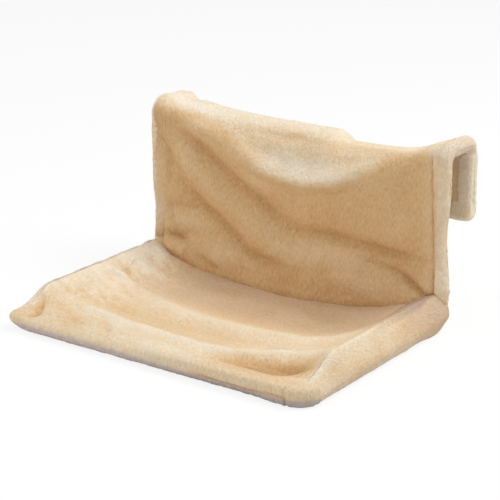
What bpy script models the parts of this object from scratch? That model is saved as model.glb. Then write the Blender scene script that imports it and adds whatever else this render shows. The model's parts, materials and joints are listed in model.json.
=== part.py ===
"""Radiator cat bed: a plush sling on a plug-together frame of bent steel tube.

The bed lies on z = 0 with its long side along X.  The seat is at the front
(-Y), the back rises behind it, and two arms carry the cover over the radiator
to a panel that hangs down behind it.  All sizes are in metres.

Inside the script Y is counted from the front bar.  Everything is parented to
one empty, which moves the whole bed so that its footprint is centred on the
origin.
"""
import math

import bmesh
import bpy
from mathutils import Vector

# Sizes of the whole bed, over and between tube centres.
COVER_WIDTH = 0.460
BED_DEPTH = 0.300
BACK_HEIGHT = 0.219
ARM_LENGTH = 0.063
HOOK_DROP = 0.095

# Steel tube, its bends and the reduced ends that plug into the cross bars.
TUBE_RADIUS = 0.006
TUBE_WALL = 0.001
BED_BEND_RADIUS = 0.027
ARM_BEND_RADIUS = 0.015
CORNER_BEND_RADIUS = 0.020
SWAGE_LENGTH = 0.030
SWAGE_TAPER = 0.004
FIT_GAP = 0.0003

# Sprung snap buttons that lock each plug joint.
BUTTON_RADIUS = 0.0020
BUTTON_STANDS_OUT = 0.0012
BUTTON_FLANGE_LIP = 0.0007
BUTTON_FLANGE_THICKNESS = 0.0007
BUTTON_DOME_HEIGHT = 0.0010
SPRING_LENGTH = 0.0110
SPRING_WIDTH = 0.0024
SPRING_THICKNESS = 0.0003

# Plush cover: one layer on a tube, and the lined panels between the tubes.
PLUSH_THICKNESS = 0.0045
PANEL_THICKNESS = 0.0065
PANEL_PROUD = 0.0055
FLOOR_CLEARANCE = 0.0005

# Front hem: a loose tunnel round the front bar, pressed flat underneath.
FRONT_HEM_RADIUS = 0.0125
HEM_FLATTENING = 0.0005
HEM_TUNNEL_EASE = 0.0015
HEM_END_ROUND = 0.007
HEM_ROUND_POWER = 2.0
HEM_BOX_POWER = 4.5

# Rear hem: a flat tunnel round the rear bar.
REAR_HEM_HEIGHT = 0.029
REAR_HEM_TOP_THICKNESS = 0.008
REAR_HEM_CORNER = 0.010

# Padded side of the bed: a wedge that rises inwards to a soft ridge.
SIDE_RIDGE_HEIGHT = 0.0465
SIDE_RIDGE_INSET = 0.020
SIDE_RIDGE_ROUND = 0.0065
SIDE_FOOT_ROUND = 0.008
SIDE_WIDTH = 0.040
SIDE_FRONT_FALL_LEFT = 0.040
SIDE_FRONT_FALL_RIGHT = 0.062
SIDE_REAR_BLEND = 0.027

# Seat: levels of its upper face, and where it starts to climb to the sides.
SEAT_FRONT_LEVEL_LEFT = 0.021
SEAT_FRONT_LEVEL_RIGHT = 0.014
SEAT_MIDDLE_LEVEL = 0.016
SEAT_REAR_LEVEL = 0.0085
SEAT_FLAT_HALF = 0.115
SEAT_CLIMB_POWER = 2.2
SEAT_REAR_FLAT_HALF = 0.070
SEAT_REAR_CLIMB_POWER = 1.9

# The fold between seat and back swings forward near the middle.
CREASE_FORWARD = 0.024
CREASE_CENTRE = 0.020
CREASE_SPREAD_LEFT = 0.095
CREASE_SPREAD_RIGHT = 0.055
CREASE_FADE_HEIGHT = 0.100

# Sag of the cloth between the two arms, with a step right of the middle.  The
# cloth rolls over its top edge more slowly between the arms, and least beyond
# the step.
TOP_SAG = 0.0135
TOP_SAG_STEP = 0.0125
TOP_STEP_X = 0.055
TOP_STEP_WIDTH = 0.024
TOP_LEAN = 0.034
TOP_LEAN_BEYOND_STEP = 0.45
TOP_LEVEL_LEAST = 0.004

# Height of one full fold.
FOLD_HEIGHT = 0.006

# Folds as straight stretches: start, end, half width and height.  Places on
# the seat are shares of half the panel's width and of the bed's depth, those
# on the back of half the panel's width and of the arm's height.  Widths are
# shares of the bed's depth and heights of a full fold; a minus sign is a
# valley.
SEAT_FOLD_SHARES = (
    (-0.70, 0.50, 0.00, 0.40, 0.050, 0.80),
    (0.00, 0.40, 0.86, 0.33, 0.050, 0.80),
    (-0.84, 0.21, -0.50, 0.15, 0.050, 0.70),
    (-0.50, 0.15, -0.20, 0.06, 0.045, 0.80),
    (-0.20, 0.11, 0.44, 0.11, 0.045, 0.90),
    (0.44, 0.11, 0.84, 0.29, 0.050, 0.80),
    (-0.98, 0.60, -0.74, 0.57, 0.040, 0.55),
    (-0.98, 0.77, -0.74, 0.71, 0.040, 0.55),
    (0.55, 0.045, 0.92, 0.10, 0.040, -0.95),
    (-0.15, 0.26, 0.60, 0.24, 0.050, -0.45),
)
BACK_FOLD_SHARES = (
    (-0.88, 0.86, -0.17, 0.46, 0.040, -0.90),
    (-1.02, 0.76, -0.72, 0.45, 0.040, -0.80),
    (-0.72, 0.45, -0.01, 0.15, 0.045, -0.90),
    (-0.94, 0.80, -0.50, 0.48, 0.050, 0.90),
    (-0.50, 0.48, 0.10, 0.28, 0.060, 1.10),
    (-0.55, 0.82, 0.25, 0.62, 0.080, 1.00),
    (0.10, 0.39, 0.90, 0.38, 0.045, -0.70),
    (0.15, 0.48, 0.80, 0.49, 0.070, 0.50),
    (0.75, 0.27, 1.02, 0.19, 0.035, -1.00),
    (-1.00, 0.21, -0.82, 0.21, 0.025, -0.70),
    (0.20, 0.24, 0.80, 0.28, 0.060, 0.80),
)

# Counts of faces.
TUBE_SIDES = 10
SLEEVE_SIDES = 12
BEND_STEPS = 6
HEM_SIDES = 16
SEAT_GRID = (26, 16)
BACK_GRID = (26, 16)
TOP_GRID = (26, 7)
HOOK_GRID = (26, 4)

# How far a cutter runs past what it cuts.
OVERRUN = 0.005

# Sizes worked out from those above.
SLEEVE_RADIUS = TUBE_RADIUS + FIT_GAP + PLUSH_THICKNESS
TUBE_X = COVER_WIDTH / 2 - SLEEVE_RADIUS
BED_Z = FRONT_HEM_RADIUS - HEM_FLATTENING
ARM_Z = BED_Z + BACK_HEIGHT
HOOK_Y = BED_DEPTH + ARM_LENGTH
REAR_BAR_Z = ARM_Z - HOOK_DROP
BORE_RADIUS = TUBE_RADIUS - TUBE_WALL
SWAGE_RADIUS = BORE_RADIUS * math.cos(math.pi / SLEEVE_SIDES) - FIT_GAP
BAR_END_X = TUBE_X - CORNER_BEND_RADIUS - SWAGE_TAPER - FIT_GAP
PLUG_END_X = BAR_END_X - SWAGE_LENGTH
BUTTON_X = BAR_END_X - SWAGE_LENGTH / 2
PANEL_HALF = TUBE_X - SLEEVE_RADIUS - FIT_GAP
SIDE_SEAM_X = COVER_WIDTH / 2 - SIDE_WIDTH
RIDGE_X = COVER_WIDTH / 2 - SIDE_RIDGE_INSET
REAR_HEM_TOP_Z = REAR_BAR_Z - SLEEVE_RADIUS + REAR_HEM_HEIGHT
FOOTPRINT_REAR = HOOK_Y + SLEEVE_RADIUS
CENTRE_SHIFT = -(FOOTPRINT_REAR - FRONT_HEM_RADIUS) / 2

PLUSH_COLOUR = (0.80, 0.64, 0.42, 1.0)
STEEL_COLOUR = (0.10, 0.10, 0.11, 1.0)
SPRING_COLOUR = (0.62, 0.62, 0.60, 1.0)
BUTTON_COLOUR = (0.72, 0.72, 0.70, 1.0)


def clear_scene():
    for obj in list(bpy.data.objects):
        bpy.data.objects.remove(obj, do_unlink=True)


def make_collection(name):
    collection = bpy.data.collections.new(name)
    bpy.context.scene.collection.children.link(collection)
    return collection


def make_material(name, colour, roughness, metallic):
    material = bpy.data.materials.new(name)
    material.use_nodes = True
    shader = material.node_tree.nodes["Principled BSDF"]
    shader.inputs["Base Color"].default_value = colour
    shader.inputs["Roughness"].default_value = roughness
    shader.inputs["Metallic"].default_value = metallic
    material.diffuse_color = colour
    return material


def plush(name):
    return make_material(name, PLUSH_COLOUR, 0.95, 0.0)


def painted_steel(name):
    return make_material(name, STEEL_COLOUR, 0.45, 0.0)


def smooth_step(value):
    t = min(max(value, 0.0), 1.0)
    return t * t * (3 - 2 * t)


def mix(first, second, share):
    return first + (second - first) * share


def fold_sum(across, along, across_size, along_size, fold_shares):
    """Sum of soft straight folds at one place on a panel."""
    total = 0.0
    here = Vector((across, along))
    for x0, y0, x1, y1, width_share, height_share in fold_shares:
        start = Vector((x0 * across_size, y0 * along_size))
        end = Vector((x1 * across_size, y1 * along_size))
        run = end - start
        share = min(max((here - start).dot(run) / run.length_squared, 0.0), 1.0)
        distance = (here - start - run * share).length
        width = width_share * BED_DEPTH
        total += height_share * FOLD_HEIGHT * math.exp(-(distance / width) ** 2)
    return total


def ridge_height(x, y):
    """Height of the side's ridge, which falls to the front hem at the corner."""
    fall = SIDE_FRONT_FALL_LEFT if x < 0 else SIDE_FRONT_FALL_RIGHT
    corner = 2 * BED_Z - HEM_FLATTENING
    return mix(corner, SIDE_RIDGE_HEIGHT, smooth_step((y - FRONT_HEM_RADIUS) / fall))


def seat_level(x, y):
    """Height of the sagging seat between its sides."""
    side_share = smooth_step(x / PANEL_HALF + 0.5)
    front = mix(SEAT_FRONT_LEVEL_LEFT, SEAT_FRONT_LEVEL_RIGHT, side_share)
    level = mix(front, SEAT_MIDDLE_LEVEL, smooth_step(3 * y / BED_DEPTH))
    return mix(level, SEAT_REAR_LEVEL, smooth_step(2 * y / BED_DEPTH - 0.7))


def cover_top(x, y):
    """Upper face of the bed: the seat and its climb to the side ridges."""
    rear = smooth_step(2 * y / BED_DEPTH - 0.9)
    flat_half = mix(SEAT_FLAT_HALF, SEAT_REAR_FLAT_HALF, rear)
    climb = (abs(x) - flat_half) / (RIDGE_X - flat_half)
    power = mix(SEAT_CLIMB_POWER, SEAT_REAR_CLIMB_POWER, rear)
    share = min(max(climb, 0.0), 1.0) ** power
    height = mix(seat_level(x, y), ridge_height(x, y), share)
    folds = fold_sum(x, y, PANEL_HALF, BED_DEPTH, SEAT_FOLD_SHARES)
    height += folds * smooth_step((RIDGE_X - abs(x)) / SIDE_RIDGE_INSET)
    return max(height, PANEL_THICKNESS + FLOOR_CLEARANCE)


def crease_y(x):
    """Where the back meets the seat; it swings forward near the middle."""
    spread = CREASE_SPREAD_LEFT if x < CREASE_CENTRE else CREASE_SPREAD_RIGHT
    swing = math.exp(-((x - CREASE_CENTRE) / spread) ** 2)
    edge = smooth_step((PANEL_HALF - abs(x)) / (PANEL_HALF - SIDE_SEAM_X))
    return BED_DEPTH - PANEL_PROUD - CREASE_FORWARD * swing * edge


def beyond_step(x):
    return smooth_step((x - TOP_STEP_X) / TOP_STEP_WIDTH + 0.5)


def top_sag(x):
    across = abs(x) / PANEL_HALF
    return TOP_SAG * (1 - across ** 4) + TOP_SAG_STEP * beyond_step(x) * (1 - across ** 6)


def front_top_radius(x):
    across = abs(x) / PANEL_HALF
    edge_radius = ARM_BEND_RADIUS + PANEL_PROUD
    lean = TOP_LEAN * (1 - across ** 2) * mix(1, TOP_LEAN_BEYOND_STEP, beyond_step(x))
    room = ARM_LENGTH + 2 * PANEL_PROUD - edge_radius - TOP_LEVEL_LEAST
    return min(edge_radius + lean, room)


def top_height(x):
    return ARM_Z + PANEL_PROUD - top_sag(x)


def back_face(x, share):
    """Front face of the back panel, from the crease (0) to its top (1)."""
    low = cover_top(x, crease_y(x)) + FIT_GAP
    high = top_height(x) - front_top_radius(x)
    z = mix(low, high, share)
    plane = BED_DEPTH - PANEL_PROUD
    fade = 1 - smooth_step((z - low) / CREASE_FADE_HEIGHT)
    y = mix(plane, crease_y(x), fade)
    folds = fold_sum(x, z, PANEL_HALF, ARM_Z, BACK_FOLD_SHARES)
    edge = smooth_step((PANEL_HALF - abs(x)) / SIDE_RIDGE_INSET)
    ends = smooth_step(6 * share) * smooth_step(8 * (1 - share))
    return Vector((x, y - folds * edge * ends, z))


def over_top(x, share, depth):
    """A point on the cloth over the arms, at a depth below its outer face."""
    front_radius = front_top_radius(x)
    rear_radius = ARM_BEND_RADIUS + PANEL_PROUD
    front_y = BED_DEPTH - PANEL_PROUD
    rear_y = HOOK_Y + PANEL_PROUD
    top_z = top_height(x)
    front_arc = front_radius * math.pi / 2
    rear_arc = rear_radius * math.pi / 2
    level = rear_y - front_y - front_radius - rear_radius
    walked = share * (front_arc + level + rear_arc)
    if walked < front_arc:
        angle = walked / front_radius
        centre = Vector((x, front_y + front_radius, top_z - front_radius))
        out = Vector((0, -math.cos(angle), math.sin(angle)))
        return centre + out * (front_radius - depth)
    if walked < front_arc + level:
        y = front_y + front_radius + walked - front_arc
        return Vector((x, y, top_z - depth))
    angle = (walked - front_arc - level) / rear_radius
    centre = Vector((x, rear_y - rear_radius, top_z - rear_radius))
    out = Vector((0, math.sin(angle), math.cos(angle)))
    return centre + out * (rear_radius - depth)


def rounded_path(corners, radii, steps):
    """Points of a wire that turns each inner corner with its own radius."""
    points = [corners[0]]
    for index, radius in enumerate(radii):
        before, corner, after = corners[index:index + 3]
        inward = (before - corner).normalized()
        outward = (after - corner).normalized()
        half = inward.angle(outward) / 2
        reach = radius / math.tan(half)
        bisector = (inward + outward).normalized()
        centre = corner + bisector * radius / math.sin(half)
        start = corner + inward * reach - centre
        normal = start.cross(corner + outward * reach - centre).normalized()
        sweep = math.pi - 2 * half
        side = normal.cross(start)
        for step in range(steps + 1):
            angle = sweep * step / steps
            points.append(centre + start * math.cos(angle) + side * math.sin(angle))
    points.append(corners[-1])
    return points


def place(obj, collection, root):
    collection.objects.link(obj)
    obj.parent = root
    return obj


def finish_mesh(name, bm, material):
    bmesh.ops.recalc_face_normals(bm, faces=bm.faces)
    mesh = bpy.data.meshes.new(name)
    bm.to_mesh(mesh)
    bm.free()
    mesh.materials.append(material)
    mesh.shade_smooth()
    mesh.set_sharp_from_angle(angle=math.radians(40))
    return bpy.data.objects.new(name, mesh)


def swept_mesh(name, points, radii, sides, material):
    """A round bar along a path, made as a bevelled curve and read as a mesh."""
    curve = bpy.data.curves.new(name + "_path", "CURVE")
    curve.dimensions = "3D"
    curve.bevel_depth = TUBE_RADIUS
    curve.bevel_resolution = (sides - 4) // 2
    curve.use_fill_caps = True
    spline = curve.splines.new("POLY")
    spline.points.add(len(points) - 1)
    for target, point, radius in zip(spline.points, points, radii):
        target.co = (*point, 1.0)
        target.radius = radius / TUBE_RADIUS
    wire = bpy.data.objects.new(name + "_path", curve)
    bpy.context.scene.collection.objects.link(wire)
    evaluated = wire.evaluated_get(bpy.context.evaluated_depsgraph_get())
    mesh = bpy.data.meshes.new_from_object(evaluated)
    bpy.data.objects.remove(wire, do_unlink=True)
    bm = bmesh.new()
    bm.from_mesh(mesh)
    bpy.data.meshes.remove(mesh)
    bmesh.ops.remove_doubles(bm, verts=bm.verts, dist=TUBE_WALL / 100)
    return finish_mesh(name, bm, material)


def loft(name, rings, material):
    """A closed body through rings of points, capped at both ends."""
    bm = bmesh.new()
    loops = [[bm.verts.new(point) for point in ring] for ring in rings]
    count = len(rings[0])
    for near, far in zip(loops, loops[1:]):
        for index in range(count):
            after = (index + 1) % count
            bm.faces.new((near[index], near[after], far[after], far[index]))
    bm.faces.new(loops[0])
    bm.faces.new(loops[-1])
    return finish_mesh(name, bm, material)


def cloth(name, grid, outer, inner, material):
    """A sheet of cloth: a grid laid on its outer face and drawn to its inner."""
    across, along = grid
    bm = bmesh.new()
    bmesh.ops.create_grid(bm, x_segments=across, y_segments=along, size=1)
    places = [(v, (v.co.x + 1) / 2, (v.co.y + 1) / 2) for v in bm.verts]
    drawn = bmesh.ops.extrude_face_region(bm, geom=list(bm.faces), use_keep_orig=True)
    backs = [v for v in drawn["geom"] if isinstance(v, bmesh.types.BMVert)]
    back_places = [(v, (v.co.x + 1) / 2, (v.co.y + 1) / 2) for v in backs]
    for vert, u, v in places:
        vert.co = outer(u, v)
    for vert, u, v in back_places:
        vert.co = inner(u, v)
    return finish_mesh(name, bm, material)


def cut(obj, cutters):
    for cutter in cutters:
        modifier = obj.modifiers.new("cut_" + cutter.name, "BOOLEAN")
        modifier.operation = "DIFFERENCE"
        modifier.solver = "EXACT"
        modifier.object = cutter


def hide_cutter(obj):
    obj.hide_render = True
    obj.display_type = "WIRE"
    return obj


def side_path(side, end_reach):
    """Centre line of a side tube, from its front plug to its rear plug."""
    x = side * TUBE_X
    end_x = side * (PLUG_END_X - end_reach)
    corners = [
        Vector((end_x, 0, BED_Z)),
        Vector((x, 0, BED_Z)),
        Vector((x, BED_DEPTH, BED_Z)),
        Vector((x, BED_DEPTH, ARM_Z)),
        Vector((x, HOOK_Y, ARM_Z)),
        Vector((x, HOOK_Y, REAR_BAR_Z)),
        Vector((end_x, HOOK_Y, REAR_BAR_Z)),
    ]
    radii = [
        CORNER_BEND_RADIUS,
        BED_BEND_RADIUS,
        ARM_BEND_RADIUS,
        ARM_BEND_RADIUS,
        CORNER_BEND_RADIUS,
    ]
    return rounded_path(corners, radii, BEND_STEPS)


def plugged_path(side, end_reach, full, reduced):
    """Side tube path and radii, with both ends swaged down to a plug."""
    path = side_path(side, end_reach)
    shoulder = Vector((side * SWAGE_TAPER, 0, 0))
    front, rear = path[1], path[-2]
    points = [path[0], front - shoulder, *path[1:-1], rear - shoulder, path[-1]]
    radii = [reduced, reduced, *[full] * (len(points) - 4), reduced, reduced]
    return points, radii


def polygon_radius(inner_radius, sides):
    """Corner radius of a regular polygon that clears a circle inside it."""
    return inner_radius / math.cos(math.pi / sides)


def make_cutters(collection, root):
    """Hollows: tube bores, the runs of the tubes in the cover and the tunnels."""
    steel = painted_steel("cutter")
    cutters = {}

    def add(name, obj):
        cutters[name] = hide_cutter(place(obj, collection, root))

    for side, word in ((-1, "left"), (1, "right")):
        full = polygon_radius(BORE_RADIUS, TUBE_SIDES)
        reduced = polygon_radius(SWAGE_RADIUS - TUBE_WALL, TUBE_SIDES)
        points, radii = plugged_path(side, OVERRUN, full, reduced)
        bore = swept_mesh("bore_" + word, points, radii, TUBE_SIDES, steel)
        add("bore_" + word, bore)
        points = side_path(side, -SWAGE_LENGTH)
        run = polygon_radius(TUBE_RADIUS + FIT_GAP, SLEEVE_SIDES)
        radii = [run] * len(points)
        add("run_" + word, swept_mesh("run_" + word, points, radii, SLEEVE_SIDES, steel))

    for word, y, z in (("front", 0, BED_Z), ("rear", HOOK_Y, REAR_BAR_Z)):
        reach = BAR_END_X + OVERRUN
        ends = [Vector((-reach, y, z)), Vector((reach, y, z))]
        radius = polygon_radius(BORE_RADIUS, SLEEVE_SIDES)
        bore = swept_mesh("bar_bore_" + word, ends, [radius] * 2, SLEEVE_SIDES, steel)
        add("bar_bore_" + word, bore)
        reach = TUBE_X - CORNER_BEND_RADIUS
        ends = [Vector((-reach, y, z)), Vector((reach, y, z))]
        radius = polygon_radius(TUBE_RADIUS + HEM_TUNNEL_EASE, SLEEVE_SIDES)
        tunnel = swept_mesh("tunnel_" + word, ends, [radius] * 2, SLEEVE_SIDES, steel)
        add("tunnel_" + word, tunnel)
        for side, side_word in ((-1, "left"), (1, "right")):
            name = f"button_hole_{word}_{side_word}"
            low = Vector((side * BUTTON_X, y, z - TUBE_RADIUS - OVERRUN))
            high = Vector((side * BUTTON_X, y, z - BUTTON_RADIUS))
            radius = polygon_radius(BUTTON_RADIUS + FIT_GAP, SLEEVE_SIDES)
            add(name, swept_mesh(name, [low, high], [radius] * 2, SLEEVE_SIDES, steel))
    return cutters


def make_frame(collection, root, cutters):
    """Two bent side tubes plugged into a front and a rear cross bar."""
    for side, word in ((-1, "left"), (1, "right")):
        name = "side_tube_" + word
        points, radii = plugged_path(side, 0, TUBE_RADIUS, SWAGE_RADIUS)
        tube = swept_mesh(name, points, radii, TUBE_SIDES, painted_steel(name))
        place(tube, collection, root)
        holes = [cutters["bore_" + word]]
        holes += [cutters[f"button_hole_{end}_{word}"] for end in ("front", "rear")]
        cut(tube, holes)

    for word, y, z in (("front", 0, BED_Z), ("rear", HOOK_Y, REAR_BAR_Z)):
        name = word + "_bar"
        ends = [Vector((-BAR_END_X, y, z)), Vector((BAR_END_X, y, z))]
        bar = swept_mesh(name, ends, [TUBE_RADIUS] * 2, SLEEVE_SIDES, painted_steel(name))
        place(bar, collection, root)
        holes = [cutters["bar_bore_" + word]]
        holes += [cutters[f"button_hole_{word}_{end}"] for end in ("left", "right")]
        cut(bar, holes)


def button_profile():
    """Half outline of a snap button: flange inside, shank and domed tip."""
    flange_low = BUTTON_RADIUS / 2
    flange_high = flange_low + BUTTON_FLANGE_THICKNESS
    tip = TUBE_RADIUS + BUTTON_STANDS_OUT
    shoulder = tip - BUTTON_DOME_HEIGHT
    lip = BUTTON_RADIUS + BUTTON_FLANGE_LIP
    profile = [(0, flange_low), (lip, flange_low), (lip, flange_high)]
    profile += [(BUTTON_RADIUS, flange_high), (BUTTON_RADIUS, shoulder)]
    for step in (1, 2):
        angle = step * math.pi / 6
        reach = shoulder + BUTTON_DOME_HEIGHT * math.sin(angle)
        profile.append((BUTTON_RADIUS * math.cos(angle), reach))
    profile.append((0, tip))
    return profile


def make_button(name, collection, root, place_at):
    """A turned button whose axis points down, out of the underside of the bar."""
    bm = bmesh.new()
    verts = [bm.verts.new((radius, 0, -reach)) for radius, reach in button_profile()]
    for first, second in zip(verts, verts[1:]):
        bm.edges.new((first, second))
    bmesh.ops.spin(
        bm,
        geom=bm.verts[:] + bm.edges[:],
        cent=(0, 0, 0),
        axis=(0, 0, 1),
        angle=2 * math.pi,
        steps=SLEEVE_SIDES,
        use_merge=True,
    )
    bmesh.ops.remove_doubles(bm, verts=bm.verts, dist=TUBE_WALL / 100)
    button = finish_mesh(name, bm, make_material(name, BUTTON_COLOUR, 0.35, 1.0))
    button.location = place_at
    return place(button, collection, root)


def make_spring(name, collection, root, place_at, side):
    """A folded leaf spring that pushes the button out and rests on the far wall."""
    wall = SWAGE_RADIUS - TUBE_WALL
    half = SPRING_WIDTH / 2
    far = math.sqrt(wall ** 2 - half ** 2) - FIT_GAP - SPRING_THICKNESS
    near = BUTTON_RADIUS / 2 - FIT_GAP - SPRING_THICKNESS
    turn = SPRING_THICKNESS * 2
    foot = BUTTON_RADIUS
    apex = SPRING_LENGTH
    profile = [(-foot, -near), (foot, -near), (apex - turn, far - 3 * turn)]
    profile += [(apex, far - 2 * turn), (apex, far - turn), (apex - turn, far)]
    profile.append((-foot, far))
    bm = bmesh.new()
    verts = [bm.verts.new((side * x, -half, z)) for x, z in profile]
    edges = [bm.edges.new(pair) for pair in zip(verts, verts[1:])]
    swept = bmesh.ops.extrude_edge_only(bm, edges=edges)
    moved = [v for v in swept["geom"] if isinstance(v, bmesh.types.BMVert)]
    bmesh.ops.translate(bm, verts=moved, vec=(0, SPRING_WIDTH, 0))
    spring = finish_mesh(name, bm, make_material(name, SPRING_COLOUR, 0.35, 1.0))
    shell = spring.modifiers.new("leaf", "SOLIDIFY")
    shell.thickness = SPRING_THICKNESS
    shell.offset = 0
    spring.location = place_at
    return place(spring, collection, root)


def make_snap_buttons(collection, root):
    for word, y, z in (("front", 0, BED_Z), ("rear", HOOK_Y, REAR_BAR_Z)):
        for side, side_word in ((-1, "left"), (1, "right")):
            centre = Vector((side * BUTTON_X, y, z))
            name = f"snap_button_{word}_{side_word}"
            make_button(name, collection, root, centre)
            name = f"snap_spring_{word}_{side_word}"
            make_spring(name, collection, root, centre, side)


def make_seat_panel(collection, root):
    half = SIDE_SEAM_X - FIT_GAP
    front = FRONT_HEM_RADIUS + FIT_GAP

    def place_on(u, v):
        x = mix(-half, half, u)
        return x, mix(front, crease_y(x) - FIT_GAP, v)

    def upper(u, v):
        x, y = place_on(u, v)
        return Vector((x, y, cover_top(x, y)))

    def lower(u, v):
        x, y = place_on(u, v)
        return Vector((x, y, cover_top(x, y) - PANEL_THICKNESS))

    panel = cloth("seat_panel", SEAT_GRID, upper, lower, plush("seat_panel"))
    place(panel, collection, root)


def make_back_panel(collection, root):
    def front(u, v):
        return back_face(mix(-PANEL_HALF, PANEL_HALF, u), v)

    def rear(u, v):
        return front(u, v) + Vector((0, PANEL_THICKNESS, 0))

    panel = cloth("back_panel", BACK_GRID, front, rear, plush("back_panel"))
    place(panel, collection, root)


def make_top_panel(collection, root):
    def at(u, v, depth):
        x = mix(-PANEL_HALF, PANEL_HALF, u)
        point = over_top(x, v, depth)
        if v == 0 or v == 1:
            point.z += FIT_GAP
        return point

    def outer(u, v):
        return at(u, v, 0)

    def inner(u, v):
        return at(u, v, PANEL_THICKNESS)

    panel = cloth("top_panel", TOP_GRID, outer, inner, plush("top_panel"))
    place(panel, collection, root)


def make_hook_panel(collection, root):
    rear = HOOK_Y + PANEL_PROUD

    def outer(u, v):
        x = mix(-PANEL_HALF, PANEL_HALF, u)
        high = top_height(x) - ARM_BEND_RADIUS - PANEL_PROUD
        return Vector((x, rear, mix(REAR_HEM_TOP_Z + FIT_GAP, high, v)))

    def inner(u, v):
        return outer(u, v) - Vector((0, PANEL_THICKNESS, 0))

    panel = cloth("hook_panel", HOOK_GRID, outer, inner, plush("hook_panel"))
    place(panel, collection, root)


def side_section(side, y):
    """Outline of the padded side of the bed at one distance from the front.

    It is round at the front corner, a leaning wedge along the bed, and
    upright under the back sleeve, whose round it follows at its rear end.
    """
    corner_height = ridge_height(side, 0)
    ridge = ridge_height(side, y)
    lean = (ridge - corner_height) / (SIDE_RIDGE_HEIGHT - corner_height)
    upright = smooth_step((y - BED_DEPTH + SLEEVE_RADIUS) / SIDE_REAR_BLEND + 1)
    behind = max(y - BED_DEPTH, 0.0)
    reach = math.sqrt(SLEEVE_RADIUS ** 2 - behind ** 2)
    outer = TUBE_X + reach
    seam = mix(SIDE_SEAM_X, TUBE_X - reach, smooth_step(behind / TUBE_RADIUS))
    ridge_x = max(RIDGE_X, seam + FIT_GAP)

    bend_run = max(y - BED_DEPTH + BED_BEND_RADIUS, 0.0)
    bend_reach = BED_BEND_RADIUS + BED_Z
    bottom = bend_reach - math.sqrt(bend_reach ** 2 - bend_run ** 2)
    foot = min(SIDE_FOOT_ROUND, (outer - seam) / 3)
    cut_corner = foot * (1 - math.sqrt(0.5))
    shoulder = mix(BED_Z, ridge, 0.25)

    rounded = []
    for step in range(4):
        angle = step * math.pi / 6
        height = mix(BED_Z, ridge, math.sin(angle))
        rounded.append((mix(RIDGE_X, outer, math.cos(angle)), height))
    wedge = [
        (outer, shoulder),
        (RIDGE_X + SIDE_RIDGE_ROUND, ridge - SIDE_RIDGE_ROUND),
        (RIDGE_X + SIDE_RIDGE_ROUND / 2, ridge - SIDE_RIDGE_ROUND / 4),
        (RIDGE_X, ridge),
    ]
    box = [
        (outer, mix(bottom + foot, ridge, 0.4)),
        (outer, ridge - cut_corner / 2),
        (outer - cut_corner / 2, ridge),
        (ridge_x, ridge),
    ]
    points = [
        (seam, bottom),
        (mix(seam, outer - foot, 0.5), bottom),
        (outer - foot, bottom),
        (outer - cut_corner, bottom + cut_corner),
        (outer, min(bottom + foot, box[0][1])),
    ]
    for soft, firm, square in zip(rounded, wedge, box):
        x = mix(mix(soft[0], firm[0], lean), square[0], upright)
        z = mix(mix(soft[1], firm[1], lean), square[1], upright)
        points.append((x, z))
    for share in (0.33, 0.67, 1.0):
        x = mix(ridge_x, seam, share)
        points.append((x, cover_top(side * x, min(y, crease_y(side * seam)))))
    return [Vector((side * x, y, z)) for x, z in points]


def make_bed_side(side, word, collection, root, cutters):
    name = "bed_side_" + word
    front = FRONT_HEM_RADIUS + FIT_GAP
    bend = BED_DEPTH - BED_BEND_RADIUS
    stations = [mix(front, bend, step / 12) for step in range(12)]
    stations += [mix(bend, BED_DEPTH, step / 5) for step in range(5)]
    for step in range(5):
        stations.append(BED_DEPTH + SLEEVE_RADIUS * math.sin(step * math.pi / 9.6))
    rings = [side_section(side, y) for y in stations]
    body = loft(name, rings, plush(name))
    place(body, collection, root)
    cut(body, [cutters["run_" + word]])


def make_back_sleeve(side, word, collection, root, cutters):
    """Cloth sleeve up the back tube, over the arm and down the hook."""
    name = "back_sleeve_" + word
    low = SIDE_RIDGE_HEIGHT + FIT_GAP
    x = side * TUBE_X
    corners = [
        Vector((x, BED_DEPTH, low)),
        Vector((x, BED_DEPTH, ARM_Z)),
        Vector((x, HOOK_Y, ARM_Z)),
        Vector((x, HOOK_Y, REAR_HEM_TOP_Z + FIT_GAP)),
    ]
    path = rounded_path(corners, [ARM_BEND_RADIUS] * 2, BEND_STEPS)
    radii = [SLEEVE_RADIUS] * len(path)
    sleeve = swept_mesh(name, path, radii, SLEEVE_SIDES, plush(name))
    flat_z = ARM_Z - SLEEVE_RADIUS * math.cos(math.pi / 6)
    near = BED_DEPTH + ARM_BEND_RADIUS - FIT_GAP
    far = HOOK_Y - ARM_BEND_RADIUS + FIT_GAP
    for vert in sleeve.data.vertices:
        if near < vert.co.y < far and vert.co.z < flat_z:
            vert.co.z = flat_z
    place(sleeve, collection, root)
    cut(sleeve, [cutters["run_" + word]])


def squared(value, power):
    """Cosine or sine of a round outline, pushed out towards a square one."""
    return math.copysign(abs(value) ** (2 / power), value)


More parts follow.
